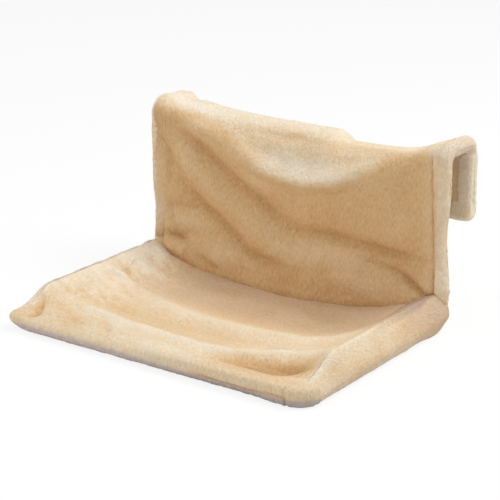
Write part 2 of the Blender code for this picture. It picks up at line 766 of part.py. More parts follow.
def make_front_hem(collection, root, cutters):
    """Soft roll along the front edge, boxed where it meets the padded sides."""
    half = COVER_WIDTH / 2
    straight = half - HEM_END_ROUND
    places = [(straight * step / 10, 1.0) for step in range(-10, 11)]
    for step in (1, 2, 3):
        angle = step * math.pi / 8
        reach = straight + HEM_END_ROUND * math.sin(angle) / math.sin(3 * math.pi / 8)
        size = mix(1.0, math.cos(angle), HEM_END_ROUND / FRONT_HEM_RADIUS)
        places.append((reach, size))
        places.insert(0, (-reach, size))
    rings = []
    for x, size in places:
        boxed = smooth_step((abs(x) - SIDE_SEAM_X) / (TUBE_X - SIDE_SEAM_X))
        power = mix(HEM_ROUND_POWER, HEM_BOX_POWER, boxed)
        ring = []
        for index in range(HEM_SIDES):
            angle = 2 * math.pi * index / HEM_SIDES
            y = FRONT_HEM_RADIUS * size * squared(math.cos(angle), power)
            z = BED_Z + FRONT_HEM_RADIUS * size * squared(math.sin(angle), power)
            ring.append(Vector((x, y, max(z, 0.0))))
        rings.append(ring)
    hem = loft("front_hem", rings, plush("front_hem"))
    place(hem, collection, root)
    cut(hem, [cutters["tunnel_front"], cutters["run_left"], cutters["run_right"]])


def make_rear_hem(collection, root, cutters):
    """Flat tunnel along the foot of the hanging panel, with rounded corners."""
    half = COVER_WIDTH / 2
    straight = half - REAR_HEM_CORNER
    places = [(straight * step / 6, 1.0) for step in range(-6, 7)]
    for step in (1, 2, 3):
        angle = step * math.pi / 7
        reach = straight + REAR_HEM_CORNER * math.sin(angle) / math.sin(3 * math.pi / 7)
        drop = 1 - (1 - math.cos(angle)) * REAR_HEM_CORNER / REAR_HEM_HEIGHT
        places.append((reach, drop))
        places.insert(0, (-reach, drop))
    blend = SIDE_WIDTH / 2
    rings = []
    for x, size in places:
        grown = smooth_step((abs(x) - PANEL_HALF + blend) / blend)
        top_half = mix(REAR_HEM_TOP_THICKNESS / 2, SLEEVE_RADIUS, grown)
        outline = []
        for step in range(7):
            angle = math.pi + math.pi * step / 6
            y = SLEEVE_RADIUS * math.cos(angle)
            outline.append((y, REAR_BAR_Z + SLEEVE_RADIUS * math.sin(angle)))
        middle_z = mix(REAR_BAR_Z, REAR_HEM_TOP_Z, 0.5)
        middle = mix(SLEEVE_RADIUS, top_half, 0.5)
        outline += [(middle, middle_z), (top_half, REAR_HEM_TOP_Z)]
        outline += [(-top_half, REAR_HEM_TOP_Z), (-middle, middle_z)]
        ring = []
        for y, z in outline:
            low = REAR_HEM_TOP_Z - (REAR_HEM_TOP_Z - z) * size
            ring.append(Vector((x, HOOK_Y + y * size, low)))
        rings.append(ring)
    hem = loft("rear_hem", rings, plush("rear_hem"))
    place(hem, collection, root)
    cut(hem, [cutters["tunnel_rear"], cutters["run_left"], cutters["run_right"]])


def build():
    clear_scene()
    parts = make_collection("radiator_cat_bed")
    hollows = make_collection("cutters")
    root = bpy.data.objects.new("radiator_cat_bed_origin", None)
    parts.objects.link(root)
    root.location = (0, CENTRE_SHIFT, 0)
    cutters = make_cutters(hollows, root)
    make_frame(parts, root, cutters)
    make_snap_buttons(parts, root)
    make_seat_panel(parts, root)
    make_back_panel(parts, root)
    make_top_panel(parts, root)
    make_hook_panel(parts, root)
    for side, word in ((-1, "left"), (1, "right")):
        make_bed_side(side, word, parts, root, cutters)
        make_back_sleeve(side, word, parts, root, cutters)
    make_front_hem(parts, root, cutters)
    make_rear_hem(parts, root, cutters)


build()
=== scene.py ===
"""Radiator cat bed: the plush cover, its folds and seams, and the studio.

The frame gives the CAD model. Each soft solid is replaced by a finer piece of
the cover, made from the same formulas as part.py with the folds and the pile
of the photograph. Y is counted from the front bar, as in part.py, and every
piece is moved by CENTRE_SHIFT. All sizes are in metres.
"""

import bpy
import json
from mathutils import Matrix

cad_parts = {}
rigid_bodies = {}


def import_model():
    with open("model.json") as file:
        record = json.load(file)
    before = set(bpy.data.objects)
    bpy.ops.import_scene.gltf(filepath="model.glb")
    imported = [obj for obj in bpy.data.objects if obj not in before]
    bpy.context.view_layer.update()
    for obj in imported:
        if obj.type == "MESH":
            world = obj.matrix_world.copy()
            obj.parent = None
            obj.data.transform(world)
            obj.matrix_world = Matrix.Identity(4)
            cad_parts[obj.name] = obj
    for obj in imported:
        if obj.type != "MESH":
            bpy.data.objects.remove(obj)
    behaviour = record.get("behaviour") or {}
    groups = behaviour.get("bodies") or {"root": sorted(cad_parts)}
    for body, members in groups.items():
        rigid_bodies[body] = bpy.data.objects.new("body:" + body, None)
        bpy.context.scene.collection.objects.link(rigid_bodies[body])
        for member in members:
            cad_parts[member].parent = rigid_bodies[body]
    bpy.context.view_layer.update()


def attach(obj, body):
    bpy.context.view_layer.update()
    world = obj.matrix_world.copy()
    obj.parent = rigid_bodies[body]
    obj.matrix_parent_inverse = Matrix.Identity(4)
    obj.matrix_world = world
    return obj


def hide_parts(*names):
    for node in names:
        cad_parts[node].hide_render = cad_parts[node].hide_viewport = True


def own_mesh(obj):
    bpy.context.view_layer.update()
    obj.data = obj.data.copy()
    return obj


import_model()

import json
import math

import bpy
import numpy as np
from mathutils import Vector

# Sizes repeated from part.py.
COVER_WIDTH = 0.460
BED_DEPTH = 0.300
BACK_HEIGHT = 0.219
ARM_LENGTH = 0.063
HOOK_DROP = 0.095
ARM_BEND_RADIUS = 0.015
BED_BEND_RADIUS = 0.027
SLEEVE_RADIUS = 0.0108
FIT_GAP = 0.0003
PANEL_THICKNESS = 0.0065
PANEL_PROUD = 0.0055
HEM_RADIUS = 0.0125
BED_Z = 0.012
REAR_HEM_HEIGHT = 0.029
REAR_HEM_TOP_THICKNESS = 0.008
REAR_HEM_CORNER = 0.010
SIDE_RIDGE_HEIGHT = 0.0465
SIDE_FOOT_ROUND = 0.008
FRONT_FALL = (0.043, 0.062)
FRONT_LEVEL = (0.021, 0.014)
MIDDLE_LEVEL = 0.016
REAR_LEVEL = 0.0085
SEAT_FLAT_HALF = (0.115, 0.070)
SEAT_CLIMB_POWER = (2.2, 1.9)
CREASE_FADE_HEIGHT = 0.100
TOP_SAG = 0.0135
TOP_SAG_STEP = 0.0125
TOP_STEP_X = 0.050
TOP_STEP_WIDTH = 0.024
TOP_LEAN = 0.034
TOP_LEAN_BEYOND_STEP = 0.45
TOP_LEVEL_LEAST = 0.004

TUBE_X = COVER_WIDTH / 2 - SLEEVE_RADIUS
ARM_Z = BED_Z + BACK_HEIGHT
HOOK_Y = BED_DEPTH + ARM_LENGTH
REAR_BAR_Z = ARM_Z - HOOK_DROP
PANEL_HALF = TUBE_X - SLEEVE_RADIUS - FIT_GAP
SEAM_X = 0.190
RIDGE_X = 0.210
REAR_HEM_TOP_Z = REAR_BAR_Z - SLEEVE_RADIUS + REAR_HEM_HEIGHT
CENTRE_SHIFT = -(HOOK_Y + SLEEVE_RADIUS - HEM_RADIUS) / 2

# The camera, fitted to the photograph.
AZIMUTH = math.radians(35.797)
ELEVATION = math.radians(18.758)
DISTANCE = 2.1085
LENS = 121.6
SHIFT = (0.0393, 0.014)
TARGET = Vector((0, 0.16 + CENTRE_SHIFT, 0.092))

# Light of the world, and the soft lamps: place, size and power.
AMBIENT = 0.40
LAMPS = (
    ("key", (1.11, 0.81, 2.20), 1.6, 42.0),
    ("fill", (-1.1, -1.5, 1.4), 1.6, 14.0),
)

# Distance between points of the cover, and along the sleeves and the front roll.
STEP = 0.0015
FINE_STEP = 0.0012

# Places where the pieces of the cover start and end.
BACK_Y = BED_DEPTH - PANEL_PROUD
SEAT_START_Y = 0.010
SLING_START_X = -TUBE_X - 0.0045
SLING_END_X = PANEL_HALF + 0.0035
WRAP_X = 0.192

# The rear hem's cloth hangs this far below the middle of its bar.
HEM_DROP = 0.0083

# The hanging panel is this much thicker beside the sleeves and the rear hem.
HOOK_STUFFING = 0.0092

# The seat meets the front hem without a step at the left.
LEFT_FRONT_RAISE = 0.0020

# The arms are flat below, this far under the middle of their tubes.
ARM_FLAT_DROP = 0.00935

# How far the right sleeve's cloth runs on over the panel beside it.
SLEEVE_FILL = 0.0125

# Sections are round at a power of 2 and squarer above: the front roll at the
# left and right, and the sleeves on the hook.
ROLL_POWERS = (2.0, 3.4)
HOOK_POWER = 3.6

# The front roll ends in a knob at the left. At the right the bed's corner is
# rounded in plan about a centre at CORNER_X.
ROLL_LEFT_END = 0.2235
KNOB_LIFT = 0.0085
ROLL_REACH = 0.0150
CORNER_X = 0.196
CORNER_RADIUS = 0.034
LEFT_CORNER_INSET = 0.0085
RIGHT_FOOT_ROUND = 0.0115

# The cloth over the left arm lies flatter than round.
LEFT_ARM_FLAT = 0.70

# The sleeves run down into the sides to this height.
SLEEVE_FOOT_Z = 0.016

# Where the back meets the seat: places across, and how far each lies in front
# of the back's plane. Near the sides this bulge ends sooner above the seat.
CREASE_LINE = (
    (-0.2081, 0.002), (-0.200, 0.013), (-0.188, 0.020), (-0.165, 0.022), (-0.140, 0.0205),
    (-0.118, 0.0155), (-0.096, 0.0135), (-0.068, 0.0165), (-0.035, 0.019), (0.005, 0.0205),
    (0.035, 0.018), (0.065, 0.011), (0.095, 0.006), (0.125, 0.0045), (0.155, 0.0065),
    (0.185, 0.0105), (0.199, 0.0105), (0.2081, 0.003),
)
CORNER_FADE_HEIGHT = 0.044

# The right sleeve narrows on its way down: heights, and how far its seam has
# moved outwards there. Its outline swells and shrinks by the second table.
SEAM_DRIFT = ((0.035, 0.060, 0.085, 0.120, 0.160, 0.205),
              (0.0115, 0.0107, 0.0086, 0.0062, 0.0038, 0.0010))
OUTLINE_DRIFT = ((0.015, 0.035, 0.055, 0.078, 0.098, 0.116, 0.136, 0.165),
                 (0.0, 0.0022, 0.0044, 0.0014, -0.0015, -0.0036, -0.0036, 0.0))

# The left sleeve stands this much further in below the height given first.
LEFT_LEAN = (0.135, 0.050, 0.0038)

# Soft folds of the seat: places across and from the front bar, half width and
# height of each. A minus sign is a valley.
SEAT_FOLDS = (
    (((-0.150, 0.158), (-0.100, 0.143), (-0.050, 0.128), (0.000, 0.126), (0.060, 0.128),
      (0.120, 0.138), (0.160, 0.155), (0.205, 0.185)), 0.014, 0.0045),
    (((-0.172, 0.064), (-0.120, 0.060), (-0.098, 0.050), (-0.082, 0.034), (-0.066, 0.015),
      (-0.052, 0.000)), 0.011, 0.0042),
    (((-0.130, 0.056), (-0.040, 0.047), (0.030, 0.045), (0.070, 0.052), (0.104, 0.066),
      (0.138, 0.084), (0.170, 0.089), (0.205, 0.085)), 0.0125, 0.0072),
    (((-0.206, 0.146), (-0.190, 0.163), (-0.168, 0.168)), 0.006, 0.0058),
    (((-0.206, 0.198), (-0.188, 0.208), (-0.170, 0.215)), 0.006, 0.0056),
    (((-0.206, 0.110), (-0.192, 0.121), (-0.180, 0.135)), 0.007, 0.0036),
    (((-0.177, 0.062), (-0.174, 0.090), (-0.172, 0.114)), 0.005, 0.0034),
    (((-0.202, 0.264), (-0.172, 0.252)), 0.008, 0.0030),
    (((-0.200, 0.186), (-0.158, 0.177)), 0.008, -0.0048),
    (((-0.190, 0.092), (-0.182, 0.066)), 0.006, -0.0036),
    (((-0.198, 0.240), (-0.160, 0.231)), 0.009, -0.0036),
    (((0.066, 0.030), (0.092, 0.038), (0.118, 0.045), (0.145, 0.050), (0.172, 0.052),
      (0.198, 0.047)), 0.0150, -0.0140),
    (((-0.209, 0.041), (-0.200, 0.028), (-0.190, 0.017), (-0.186, 0.004), (-0.198, -0.006)),
     0.0046, -0.0052),
    (((-0.160, 0.098), (-0.080, 0.092), (0.020, 0.095), (0.100, 0.098)), 0.020, -0.0032),
    (((-0.104, 0.034), (-0.084, 0.016), (-0.068, -0.002)), 0.006, -0.0032),
    (((-0.195, 0.034), (-0.158, 0.033), (-0.138, 0.018), (-0.115, 0.000)), 0.009, -0.0032),
)

# Folds of the back: places across and above the floor, then as above.
BACK_FOLDS = (
    (((-0.196, 0.208), (-0.150, 0.183), (-0.125, 0.165), (-0.100, 0.150), (-0.075, 0.135),
      (-0.050, 0.122), (-0.025, 0.106), (0.010, 0.095)), 0.0105, -0.0092),
    (((-0.213, 0.182), (-0.190, 0.155), (-0.172, 0.132), (-0.155, 0.112)), 0.0110, -0.0034),
    (((-0.180, 0.128), (-0.155, 0.110), (-0.138, 0.097), (-0.110, 0.082), (-0.085, 0.068),
      (-0.062, 0.053), (-0.030, 0.046), (0.022, 0.041)), 0.0080, -0.0086),
    (((-0.202, 0.094), (-0.170, 0.093), (-0.143, 0.098)), 0.0050, -0.0036),
    (((-0.217, 0.048), (-0.200, 0.055), (-0.185, 0.056), (-0.160, 0.050)), 0.0036, -0.0080),
    (((-0.174, 0.058), (-0.153, 0.060)), 0.0035, -0.0028),
    (((-0.010, 0.094), (0.050, 0.096), (0.100, 0.094), (0.150, 0.091), (0.203, 0.087)),
     0.0068, -0.0074),
    (((0.100, 0.076), (0.140, 0.071), (0.175, 0.063)), 0.0060, -0.0044),
    (((0.160, 0.068), (0.185, 0.0575), (0.203, 0.0490), (0.217, 0.0430), (0.250, 0.030)),
     0.0042, -0.0085),
    (((-0.142, 0.037), (-0.122, 0.025), (-0.102, 0.016)), 0.0040, -0.0048),
    (((-0.200, 0.190), (-0.160, 0.152), (-0.120, 0.122), (-0.070, 0.096), (-0.005, 0.072)),
     0.0140, 0.0064),
    (((-0.178, 0.213), (-0.120, 0.199), (-0.080, 0.184), (-0.050, 0.173)), 0.0150, 0.0050),
    (((-0.085, 0.184), (-0.050, 0.171), (-0.010, 0.163), (0.030, 0.162), (0.070, 0.171),
      (0.112, 0.187)), 0.0130, 0.0150),
    (((-0.070, 0.218), (-0.020, 0.219), (0.045, 0.219)), 0.0080, -0.0020),
    (((0.030, 0.070), (0.080, 0.073), (0.130, 0.068)), 0.0150, 0.0064),
    (((0.060, 0.040), (0.120, 0.044), (0.180, 0.045)), 0.0120, 0.0054),
    (((-0.208, 0.040), (-0.180, 0.038), (-0.148, 0.036)), 0.0110, 0.0080),
    (((-0.200, 0.120), (-0.176, 0.108)), 0.0140, 0.0030),
    (((-0.120, 0.050), (-0.055, 0.034)), 0.0120, 0.0040),
    (((0.029, 0.135), (0.027, 0.060)), 0.0050, 0.0014),
)

# Patches of painted light and shade on the back, partly where the pile lies
# lighter or darker: place across and height, half widths of each, and how
# much lighter or darker each is painted.
BACK_LIGHT_AND_SHADE = (
    (0.015, 0.181, 0.055, 0.014, 1.25),
    (0.110, 0.178, 0.025, 0.012, 0.4),
    (0.139, 0.222, 0.040, 0.012, -0.70),
    (0.000, 0.222, 0.050, 0.010, -0.55),
    (-0.140, 0.214, 0.025, 0.012, 0.6),
    (-0.170, 0.246, 0.060, 0.016, 1.2),
    (-0.070, 0.150, 0.050, 0.012, 0.45),
    (0.020, 0.151, 0.060, 0.010, 0.45),
    (0.040, 0.066, 0.070, 0.014, 0.60),
    (-0.180, 0.080, 0.040, 0.010, 0.40),
    (0.125, 0.036, 0.035, 0.008, 0.85),
    (-0.110, 0.038, 0.022, 0.010, 0.75),
    (0.010, 0.028, 0.030, 0.010, -0.55),
    (0.130, 0.086, 0.050, 0.006, -0.45),
    (0.214, 0.046, 0.009, 0.004, -1.30),
    (-0.165, 0.074, 0.030, 0.006, 0.45),
    (-0.062, 0.086, 0.022, 0.018, 0.45),
    (0.080, 0.062, 0.036, 0.007, 0.40),
)

# The same for the seat's painted light and shade: place across and distance from the front bar.
SEAT_LIGHT_AND_SHADE = (
    (0.020, 0.195, 0.130, 0.050, -0.75),
    (-0.190, 0.228, 0.030, 0.036, 1.70),
    (-0.185, 0.150, 0.028, 0.050, 0.60),
    (0.205, 0.185, 0.022, 0.028, -1.30),
    (-0.065, 0.062, 0.036, 0.012, -0.80),
    (0.020, 0.008, 0.045, 0.012, 0.85),
    (0.125, 0.022, 0.028, 0.016, -0.30),
    (0.150, 0.056, 0.034, 0.012, -0.75),
    (0.145, 0.005, 0.060, 0.016, -0.60),
    (0.192, 0.038, 0.018, 0.012, -0.70),
    (-0.125, 0.098, 0.040, 0.020, -0.35),
    (-0.135, 0.006, 0.030, 0.014, -0.45),
    (-0.206, 0.010, 0.013, 0.018, -0.50),
    (-0.195, 0.021, 0.005, 0.012, -1.10),
    (-0.188, 0.004, 0.005, 0.010, -0.90),
    (-0.050, 0.262, 0.190, 0.012, 0.45),
    (-0.070, 0.238, 0.036, 0.012, -0.45),
    (0.030, 0.148, 0.090, 0.018, -0.35),
    (0.150, 0.187, 0.050, 0.018, -0.35),
    (0.030, 0.062, 0.080, 0.012, -0.35),
    (-0.140, 0.212, 0.032, 0.012, 0.45),
    (-0.205, 0.245, 0.016, 0.040, 0.70),
    (-0.205, 0.120, 0.015, 0.090, 0.30),
    (0.050, 0.037, 0.014, 0.010, 0.45),
)

# Lower edge of the frosty pile and its painted highlight on the back: places across, and heights.
FROST_EDGE = (
    (-0.215, -0.150, -0.100, -0.075, -0.050, -0.025, 0.000, 0.030, 0.060, 0.090, 0.110, 0.150, 0.215),
    (0.245, 0.228, 0.206, 0.191, 0.177, 0.168, 0.163, 0.161, 0.165, 0.175, 0.186, 0.211, 0.240),
)

# The folds of the back were read off the photo on the back's plane. A line of
# sight drifts this far sideways and up for each metre of depth behind it.
SIGHT_DRIFT = (0.72, 0.419)


def smooth(value):
    t = np.clip(value, 0.0, 1.0)
    return t * t * (3 - 2 * t)


def ramp_up(value, start, width):
    """Eased step: 0 up to start, 1 from start + width on."""
    return smooth((value - start) / width)


def ramp_down(value, end, width):
    """Eased step: 1 up to end - width, 0 from end on."""
    return smooth((end - value) / width)


def bell(away, width):
    return np.exp(-((away / width) ** 2))


def mix(first, second, share):
    return first + (second - first) * share


def smooth_max(first, second, reach):
    """The higher of two surfaces, with a fillet where they cross."""
    near = np.maximum(reach - np.abs(first - second), 0) / reach
    return np.maximum(first, second) + near * near * reach / 4


def hashed(x, y, z, seed):
    n = (x * 73856093) ^ (y * 19349663) ^ (z * 83492791) ^ (seed * 2654435761)
    n &= 0xFFFFFFFF
    for _ in range(2):
        n = ((n ^ (n >> 16)) * 0x45D9F3B) & 0xFFFFFFFF
    return (n ^ (n >> 16)) / 0x7FFFFFFF - 1


def noise(places, size, seed):
    """Smooth noise from about -1 to 1; size is that of one bump along each axis."""
    p = places / np.asarray(size, float)
    cell = np.floor(p).astype(np.int64)
    f = p - cell
    eased = f * f * f * (f * (f * 6 - 15) + 10)
    total = 0
    for dx in (0, 1):
        for dy in (0, 1):
            for dz in (0, 1):
                corner = (cell[..., 0] + dx, cell[..., 1] + dy, cell[..., 2] + dz)
                weight = np.abs(1 - dx - eased[..., 0]) * np.abs(1 - dy - eased[..., 1])
                weight = weight * np.abs(1 - dz - eased[..., 2])
                slope = sum(hashed(*corner, seed + 100 * k) * (f[..., k] - (dx, dy, dz)[k])
                            for k in range(3))
                total = total + weight * slope
    return np.clip(1.6 * total, -1.2, 1.2)


def fold_field(across, along, folds):
    """Sum of folds along broken lines; each dies away towards its two ends."""
    total = np.zeros(np.broadcast(across, along).shape)
    for places, width, height in folds:
        nearest = np.full(total.shape, 1e9)
        walked = np.zeros(total.shape)
        length = 0.0
        for (x0, y0), (x1, y1) in zip(places, places[1:]):
            run = math.hypot(x1 - x0, y1 - y0)
            share = ((across - x0) * (x1 - x0) + (along - y0) * (y1 - y0)) / run ** 2
            share = np.clip(share, 0, 1)
            away = np.hypot(across - mix(x0, x1, share), along - mix(y0, y1, share))
            closer = away < nearest
            nearest = np.where(closer, away, nearest)
            walked = np.where(closer, length + run * share, walked)
            length += run
        ends = smooth(4 * walked / length) * smooth(4 * (length - walked) / length)
        power = 1.4 if height < 0 else 2.0
        total += height * np.exp(-((nearest / width) ** power)) * mix(0.3, 1.0, ends)
    return total


def right_share(x):
    """0 at the left and 1 at the right, where the front roll is boxy."""
    return smooth(x / 0.12 + 0.42)


def ridge_height(x, y):
    fall = np.where(x < 0, FRONT_FALL[0], FRONT_FALL[1])
    corner = BED_Z + HEM_RADIUS - 0.0005
    top = SIDE_RIDGE_HEIGHT - np.where(x < 0, 0.0012, 0.0)
    return mix(corner, top, ramp_up(y, HEM_RADIUS, fall))


def bed_top(x, y):
    """Upper face of the bed, from the top of the front roll to the crease."""
    front = mix(*FRONT_LEVEL, smooth(x / PANEL_HALF + 0.5))
    level = mix(front, MIDDLE_LEVEL, smooth(3 * y / BED_DEPTH))
    level = mix(level, REAR_LEVEL, smooth(2 * y / BED_DEPTH - 0.7))
    rear = smooth(2 * y / BED_DEPTH - 0.9)
    flat_half = mix(*SEAT_FLAT_HALF, rear)
    climb = np.clip((np.abs(x) - flat_half) / (RIDGE_X - flat_half), 0, 1)
    height = mix(level, ridge_height(x, y), climb ** mix(*SEAT_CLIMB_POWER, rear))
    folds = fold_field(x, y, SEAT_FOLDS) * ramp_down(np.abs(x), RIDGE_X + 0.004, 0.018)
    height = np.maximum(height + folds, PANEL_THICKNESS + 0.001)
    height = height + LEFT_FRONT_RAISE * smooth(0.5 - x / 0.16) * smooth(1 - y / 0.060)
    height = height - 0.030 * ramp_down(y, 0.016, 0.024)
    right = right_share(x)
    return smooth_max(height, roll_height(x, y, folds), mix(0.010, 0.0035, right))


def roll_height(x, y, folds):
    """Upper face of the front roll: a long slope at the left, boxy at the right."""
    right = right_share(x)
    knob = ramp_up(-x, 0.192, 0.014)
    crest = mix(mix(0.018, 0.001, right), 0.002, knob)
    power = mix(*ROLL_POWERS, right)
    ahead = (crest - y) / (crest + HEM_RADIUS)
    reach = mix(0.024, ROLL_REACH, right) + 0.012 * ramp_up(x, 0.160, 0.040)
    behind = (y - crest) / reach
    off = np.clip(np.maximum(ahead, behind), 0, 1)
    share = (1 - off ** power) ** (1 / power)
    carried = folds * share * mix(0.45 * (1 - right), 1.0, ramp_up(-x, 0.165, 0.02))
    return np.where(behind >= 1, 0.0, BED_Z + HEM_RADIUS * share + carried)


def evenly(points, count):
    """The broken line through points, with count points at even distances."""
    length = np.concatenate([[0], np.cumsum(np.linalg.norm(np.diff(points, axis=0), axis=1))])
    even = np.linspace(0, length[-1], count)
    return np.stack([np.interp(even, length, axis) for axis in points.T], axis=1)


def through(control, count):
    """A smooth open curve through control points, evenly spaced."""
    control = np.asarray(control, float)
    padded = np.concatenate([2 * control[:1] - control[1:2], control,
                             2 * control[-1:] - control[-2:-1]])
    fine = []
    for a, b, c, d in zip(padded, padded[1:], padded[2:], padded[3:]):
        t = np.linspace(0, 1, 12, endpoint=False)[:, None]
        fine.append(0.5 * (2 * b + (c - a) * t + (2 * a - 5 * b + 4 * c - d) * t ** 2
                           + (3 * b - a - 3 * c + d) * t ** 3))
    return evenly(np.concatenate([*fine, control[-1:]]), count)


def crease_y(x):
    line = through(CREASE_LINE, 160)
    return BACK_Y - np.interp(x, line[:, 0], line[:, 1])


def left_lean(z):
    top, reach, amount = LEFT_LEAN
    return amount * ramp_down(z, top, reach) * (1 - 0.6 * ramp_down(z, 0.065, 0.030))


def beyond_step(x):
    return smooth((x - TOP_STEP_X) / TOP_STEP_WIDTH + 0.5)


def top_height(x):
    across = np.minimum(np.abs(x) / PANEL_HALF, 1.0)
    sag = TOP_SAG * (1 - across ** 4) + TOP_SAG_STEP * beyond_step(x) * (1 - across ** 6)
    return ARM_Z + PANEL_PROUD - sag + 0.0030 * bell(x - 0.187, 0.018)


def front_top_radius(x):
    across = np.minimum(np.abs(x) / PANEL_HALF, 1.0)
    edge_radius = ARM_BEND_RADIUS + PANEL_PROUD
    lean = TOP_LEAN * (1 - across ** 2) * mix(1, TOP_LEAN_BEYOND_STEP, beyond_step(x))
    room = ARM_LENGTH + 2 * PANEL_PROUD - edge_radius - TOP_LEVEL_LEAST
    return np.minimum(edge_radius + lean, room)


def grid_normals(points, ring=False):
    """Outward normals of a grid; its first axis closes on itself if ring."""
    if ring:
        first = np.roll(points, -1, axis=0) - np.roll(points, 1, axis=0)
    else:
        first = np.gradient(points, axis=0)
    normal = np.cross(first, np.gradient(points, axis=1))
    size = np.linalg.norm(normal, axis=2, keepdims=True)
    return normal / np.maximum(size, 1e-12)


def walk(points):
    """How far along the grid's second axis each point is."""
    runs = np.linalg.norm(np.diff(points, axis=1), axis=2)
    return np.concatenate([np.zeros((len(points), 1)), np.cumsum(runs, axis=1)], axis=1)


def pile(points, normals, nap, frost, seed=1):
    """Moves points out or in by the tufts of the pile. nap runs along the pile."""
    tufts = noise(nap, (0.0034, 0.0056, 0.0034), seed)
    clumps = noise(nap, (0.0080, 0.0120, 0.0080), seed + 5)
    waves = noise(nap, (0.022, 0.032, 0.022), seed + 9)
    height = mix(0.00016, 0.00050, frost) * tufts + mix(0.00024, 0.00060, frost) * clumps
    height = height + 0.0006 * waves
    return points + normals * height[..., None], (tufts + 1.2 * clumps) / 2.2


def round_runs(points):
    """How far each point of a ring lies from the one before it."""
    return np.linalg.norm(points - np.roll(points, 1, axis=0), axis=2)


def spaced(start, end, step=STEP):
    count = max(int(round(abs(end - start) / step)), 2)
    return np.linspace(start, end, count + 1)


# Collections of what every piece needs, filled in as the pieces are made.
materials = {}
pieces = {}


def attribute(mesh, name, kind, values):
    layer = mesh.attributes.new(name, kind, "POINT")
    key = "vector" if kind == "FLOAT_VECTOR" else "value"
    layer.data.foreach_set(key, np.ascontiguousarray(values, dtype=np.float32).ravel())


def make_piece(name, verts, faces, looks, nodes, inner=None):
    """A mesh piece of the cover that stands for CAD nodes.

    looks has the values that the plush reads at each point: nap (place in the
    pile), the tone (painted shade below 0 and painted light above, with the
    pile's own tone), the share of greyer painted shade, and the share of pale
    standing pile (1 where it stands up in pale clumps, also used as a painted
    highlight).
    """
    mesh = bpy.data.meshes.new(name)
    moved = verts + np.array([0.0, CENTRE_SHIFT, 0.0])
    mesh.from_pydata(moved.tolist(), [], faces.tolist() if hasattr(faces, "tolist") else faces)
    attribute(mesh, "nap", "FLOAT_VECTOR", looks["nap"])
    attribute(mesh, "fold", "FLOAT", looks["fold"])
    attribute(mesh, "under", "FLOAT", looks["under"])
    attribute(mesh, "frost", "FLOAT", looks["frost"])
    mesh.materials.append(materials["plush"])
    mesh.materials.append(materials["lining"])
    if inner is not None:
        index = np.zeros(len(mesh.polygons), np.int32)
        index[inner] = 1
        mesh.polygons.foreach_set("material_index", index)
    mesh.shade_smooth()
    mesh.set_sharp_from_angle(angle=math.radians(60))
    mesh.update()
    obj = bpy.data.objects.new(name, mesh)
    bpy.context.scene.collection.objects.link(obj)
    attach(obj, "bed")
    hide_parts(*nodes)
    pieces[name] = obj
    return obj


def grid_faces(rows, columns, start=0, flip=False, ring=False):
    """Faces of a grid of rows by columns points, counted from start."""
    last = rows if ring else rows - 1
    i, j = np.meshgrid(np.arange(last), np.arange(columns - 1), indexing="ij")
    near, far = i % rows, (i + 1) % rows
    quad = [near * columns + j, far * columns + j, far * columns + j + 1, near * columns + j + 1]
    faces = np.stack(quad, axis=-1).reshape(-1, 4) + start
    return faces[:, ::-1] if flip else faces


def inner_face(outer):
    inner = outer - grid_normals(outer) * PANEL_THICKNESS
    inner[..., 2] = np.maximum(inner[..., 2], 0.0004)
    return inner


def slab(name, outer, inner, looks, nodes, lined=True):
    """A closed sheet of cloth between two faces, lined or with pile behind."""
    rows, columns = outer.shape[:2]
    count = rows * columns
    verts = np.concatenate([outer.reshape(-1, 3), inner.reshape(-1, 3)])
    front = grid_faces(rows, columns)
    back = grid_faces(rows, columns, count, flip=True)
    edge = [(i, 0) for i in range(rows)] + [(rows - 1, j) for j in range(1, columns)]
    edge += [(i, columns - 1) for i in range(rows - 2, -1, -1)]
    edge += [(0, j) for j in range(columns - 2, 0, -1)]
    border = np.array([i * columns + j for i, j in edge])
    after = np.roll(border, -1)
    rim = np.stack([after, border, border + count, after + count], axis=1)
    faces = np.concatenate([front, back, rim])
    doubled = {
        key: np.concatenate([value.reshape(count, -1)] * 2) for key, value in looks.items()
    }
    lining = slice(len(front), len(front) + len(back)) if lined else None
    return make_piece(name, verts, faces, doubled, nodes, lining)


def tube(name, rings, looks, nodes):
    """A closed body from rings of points: first axis round it, second along."""
    rows, columns = rings.shape[:2]
    verts = list(rings.reshape(-1, 3))
    faces = grid_faces(rows, columns, ring=True).tolist()
    extra = {key: [value.reshape(rows * columns, -1)] for key, value in looks.items()}
    for end, column in ((0, 0), (1, columns - 1)):
        centre = len(verts)
        verts.append(rings[:, column].mean(axis=0))
        for i in range(rows):
            pair = (i * columns + column, (i + 1) % rows * columns + column)
            faces.append((centre, *pair[::-1]) if end else (centre, *pair))
        for key, value in looks.items():
            middle = value.reshape(rows, columns, -1)[:, column].mean(axis=0)
            extra[key].append(middle[None])
    joined = {key: np.concatenate(value) for key, value in extra.items()}
    return make_piece(name, np.array(verts), faces, joined, nodes)


def node(tree, kind, **settings):
    made = tree.nodes.new(kind)
    for key, value in settings.items():
        if key in made.inputs:
            made.inputs[key].default_value = value
        else:
            setattr(made, key, value)
    return made


def math_node(tree, operation, first, second):
    made = tree.nodes.new("ShaderNodeMath")
    made.operation = operation
    for socket, value in zip(made.inputs, (first, second)):
        if hasattr(value, "is_output"):
            tree.links.new(value, socket)
        else:
            socket.default_value = value
    return made.outputs[0]


def new_material(name):
    material = bpy.data.materials.new(name)
    material.use_nodes = True
    tree = material.node_tree
    return material, tree, tree.nodes["Principled BSDF"]


def read_attribute(tree, name, output):
    made = tree.nodes.new("ShaderNodeAttribute")
    made.attribute_name = name
    return made.outputs[output]


